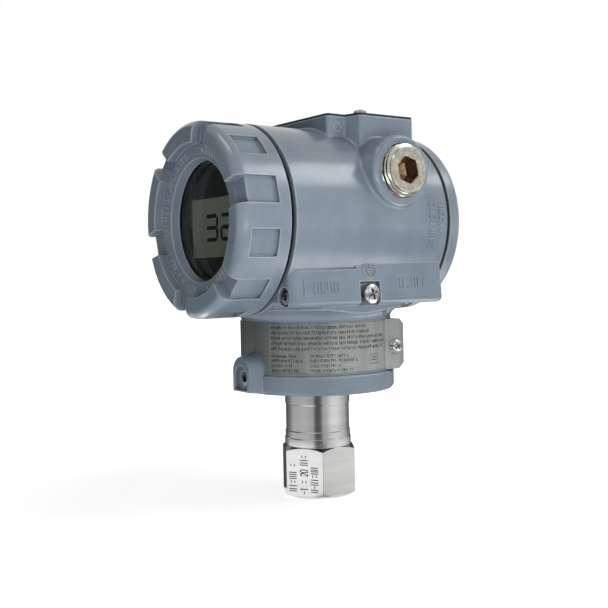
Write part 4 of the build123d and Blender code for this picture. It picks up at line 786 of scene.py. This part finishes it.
def whiteWorld():
    world = bpy.data.worlds.new("white")
    world.use_nodes = True
    tree = world.node_tree
    ground = tree.nodes["Background"]
    feed(ground, "Strength", seenRays(tree) * (1.0 - studio["worldLevel"]) + studio["worldLevel"])
    ground.inputs["Color"].default_value = (1, 1, 1, 1)
    bpy.context.scene.world = world


def stageMesh(name, verts, faces, material):
    mesh = bpy.data.meshes.new(name)
    mesh.from_pydata(verts, [], faces)
    mesh.materials.append(material)
    made = bpy.data.objects.new(name, mesh)
    bpy.context.scene.collection.objects.link(made)
    return made


def paleFloor():
    half = studio["floorSize"] / 2
    material, shader, place = newFinish("floorPaint", {"Base Color": studio["floorColour"], "Roughness": 1.0,
                                                       "Specular IOR Level": 0.0})
    # whiter with distance: near the foot the lift leaves room for the object's shadow
    near, far, start, end = studio["floorLift"]
    away = place.node("ShaderNodeVectorMath", {"operation": "LENGTH"}, {0: place}, 1)
    level = ((away - start) / (end - start)).clamp() * (far - near) + near
    feed(shader, "Emission Color", level.node("ShaderNodeCombineColor", {}, {0: level, 1: level, 2: level}))
    glow = studio["floorGlow"]
    feed(shader, "Emission Strength", seenRays(material.node_tree) * (1.0 - glow) + glow)
    corners = [(-half, -half, 0), (half, -half, 0), (half, half, 0), (-half, half, 0)]
    floor = stageMesh("floor", corners, [(0, 1, 2, 3)], material)
    floor.location.z = -studio["floorDrop"]


def softbox(name, direction, distance, width, height, radiance, aim=studio["aim"]):
    data = bpy.data.lights.new(name, "AREA")
    data.shape = "RECTANGLE"
    data.size, data.size_y = width, height
    data.energy = radiance * math.pi * width * height
    lamp = bpy.data.objects.new(name, data)
    bpy.context.scene.collection.objects.link(lamp)
    toward = Vector(direction).normalized()
    turn = toward.to_track_quat("Z", "Y").to_matrix().to_4x4()
    lamp.matrix_world = Matrix.Translation(Vector(aim) + toward * distance) @ turn
    return lamp


# cards that glow evenly and that only reflections see; tones are (angle from the camera in degrees, brightness)
footTones = ((-178, .07), (-150, .07), (-122, .10), (-100, .8), (-48, 1.22), (-20, 1.15), (-9, .5), (-4, .10),
             (20, .12), (30, .70), (72, .88), (105, .80), (135, .30), (165, .14))
shankTones = ((-175, .08), (-146, .09), (-128, .12), (-106, .24), (-88, .50), (-45, .60), (-30, .54), (-20, .48),
              (-14, .46), (-10, .20), (-7, .09), (5, .09), (11, .18), (18, .55), (26, .50), (34, .70), (45, .90),
              (66, .86), (85, .64), (107, .45), (125, .20), (150, .10))
ringTones = ((-170, .03), (-146, .03), (-120, .04), (-80, .06), (-50, .08), (-38, .15), (-12, .22), (0, .14),
             (10, .17), (20, .45), (40, .54), (60, .52), (72, .52), (90, .54), (120, .30), (150, .08))
floorTones = ((-178, .07), (-84, .07), (-64, 1.1), (-48, 1.22), (-20, 1.15), (-9, .5), (-4, .10), (20, .12),
              (30, .70), (72, .88), (105, .80), (135, .30), (165, .07))
cards = {
    "steps": 96,
    # name, radius and height of one edge and of the other in metres, tones
    "round": (("cardsFloor", (0.018, 0.0003), (0.060, 0.0003), floorTones),
              ("cardsFoot", (0.060, 0.0003), (0.060, 0.0150), footTones),
              ("cardsShank", (0.060, 0.0152), (0.060, 0.050), shankTones),
              ("cardsRing", (0.150, 0.034), (0.150, 0.096), ringTones)),
    # name, centre, facing, width, height, brightness, whether diffuse rays see it too
    "flat": (("windowFlag", (-0.62, -0.50, 0.16), (0.816, 0.577, 0.0), 0.50, 0.60, 0.03, False),
             ("leftFlag", (-0.17, -0.17, 0.190), (0.707, 0.707, 0.0), 0.30, 0.19, 0.02, True),
             ("rimGlow", (-0.010, -0.230, 0.540), (0.016, 0.38, -0.925), 0.22, 0.10, 6.0, False),
             ("footGlow", (-0.080, -0.065, 0.0001), (0.0, 0.0, 1.0), 0.040, 0.070, 5.0, False),
             ("lowGlow", (0.080, 0.095, 0.0001), (0.0, 0.0, 1.0), 0.120, 0.100, 3.6, False)),
}


def glowFinish(name, tone=0.0):
    return newFinish(name + "Tone", {"Base Color": (0, 0, 0, 1), "Roughness": 1.0, "Specular IOR Level": 0.0,
                                     "Emission Color": (tone, tone, tone, 1), "Emission Strength": 1.0})


def mirrorOnly(card, diffuse=False):
    card.visible_camera = card.visible_shadow = False
    card.visible_diffuse = diffuse


def cardRing(name, first, second, tones):
    # a band round the z axis between two (radius, height) rims, its brightness by the angle through a colour ramp
    material, shader, place = glowFinish(name)
    stops = sorted((((turn + view["azimuth"] - 90) / 360 + 0.5) % 1.0, (tone, tone, tone)) for turn, tone in tones)
    edge = tuple((a + b) / 2 for a, b in zip(stops[0][1], stops[-1][1]))
    stops = [(0.0, edge)] + stops + [(1.0, edge)]
    turning = place.node("ShaderNodeTexGradient", {"gradient_type": "RADIAL"}, {"Vector": place})
    feed(shader, "Emission Color", turning.ramp(*stops))
    count = cards["steps"]
    k = np.arange(count)
    turns = 2 * math.pi * k / count
    rims = [np.stack([radius * np.cos(turns), radius * np.sin(turns), np.full(count, z)], -1)
            for radius, z in (first, second)]
    faces = np.stack([2 * k, 2 * k + 1, (2 * k + 3) % (2 * count), (2 * k + 2) % (2 * count)], -1)
    mirrorOnly(stageMesh(name, np.stack(rims, 1).reshape(-1, 3).tolist(), faces.tolist(), material))


def flatCard(name, centre, facing, width, height, tone, diffuse):
    turn = Vector(facing).to_track_quat("Z", "Y").to_matrix()
    corners = [Vector(centre) + turn @ Vector((x * width / 2, y * height / 2, 0))
               for x, y in ((-1, -1), (1, -1), (1, 1), (-1, 1))]
    material = glowFinish(name, tone)[0]
    mirrorOnly(stageMesh(name, [tuple(c) for c in corners], [(0, 1, 2, 3)], material), diffuse)


whiteWorld()
paleFloor()
for lampRow in studio["lamps"]:
    lamp = softbox(*lampRow)
    lamp.visible_glossy = lampRow[0] == "keyLamp"  # the others would only double the white that reflections see
spot, facing, wide, deep, radiance = studio["bounce"]
softbox("bounceLamp", -Vector(facing), 0.0, wide, deep, radiance, spot)
for cardRow in cards["round"]:
    cardRing(*cardRow)
for cardRow in cards["flat"]:
    flatCard(*cardRow)
print("camera and studio set")
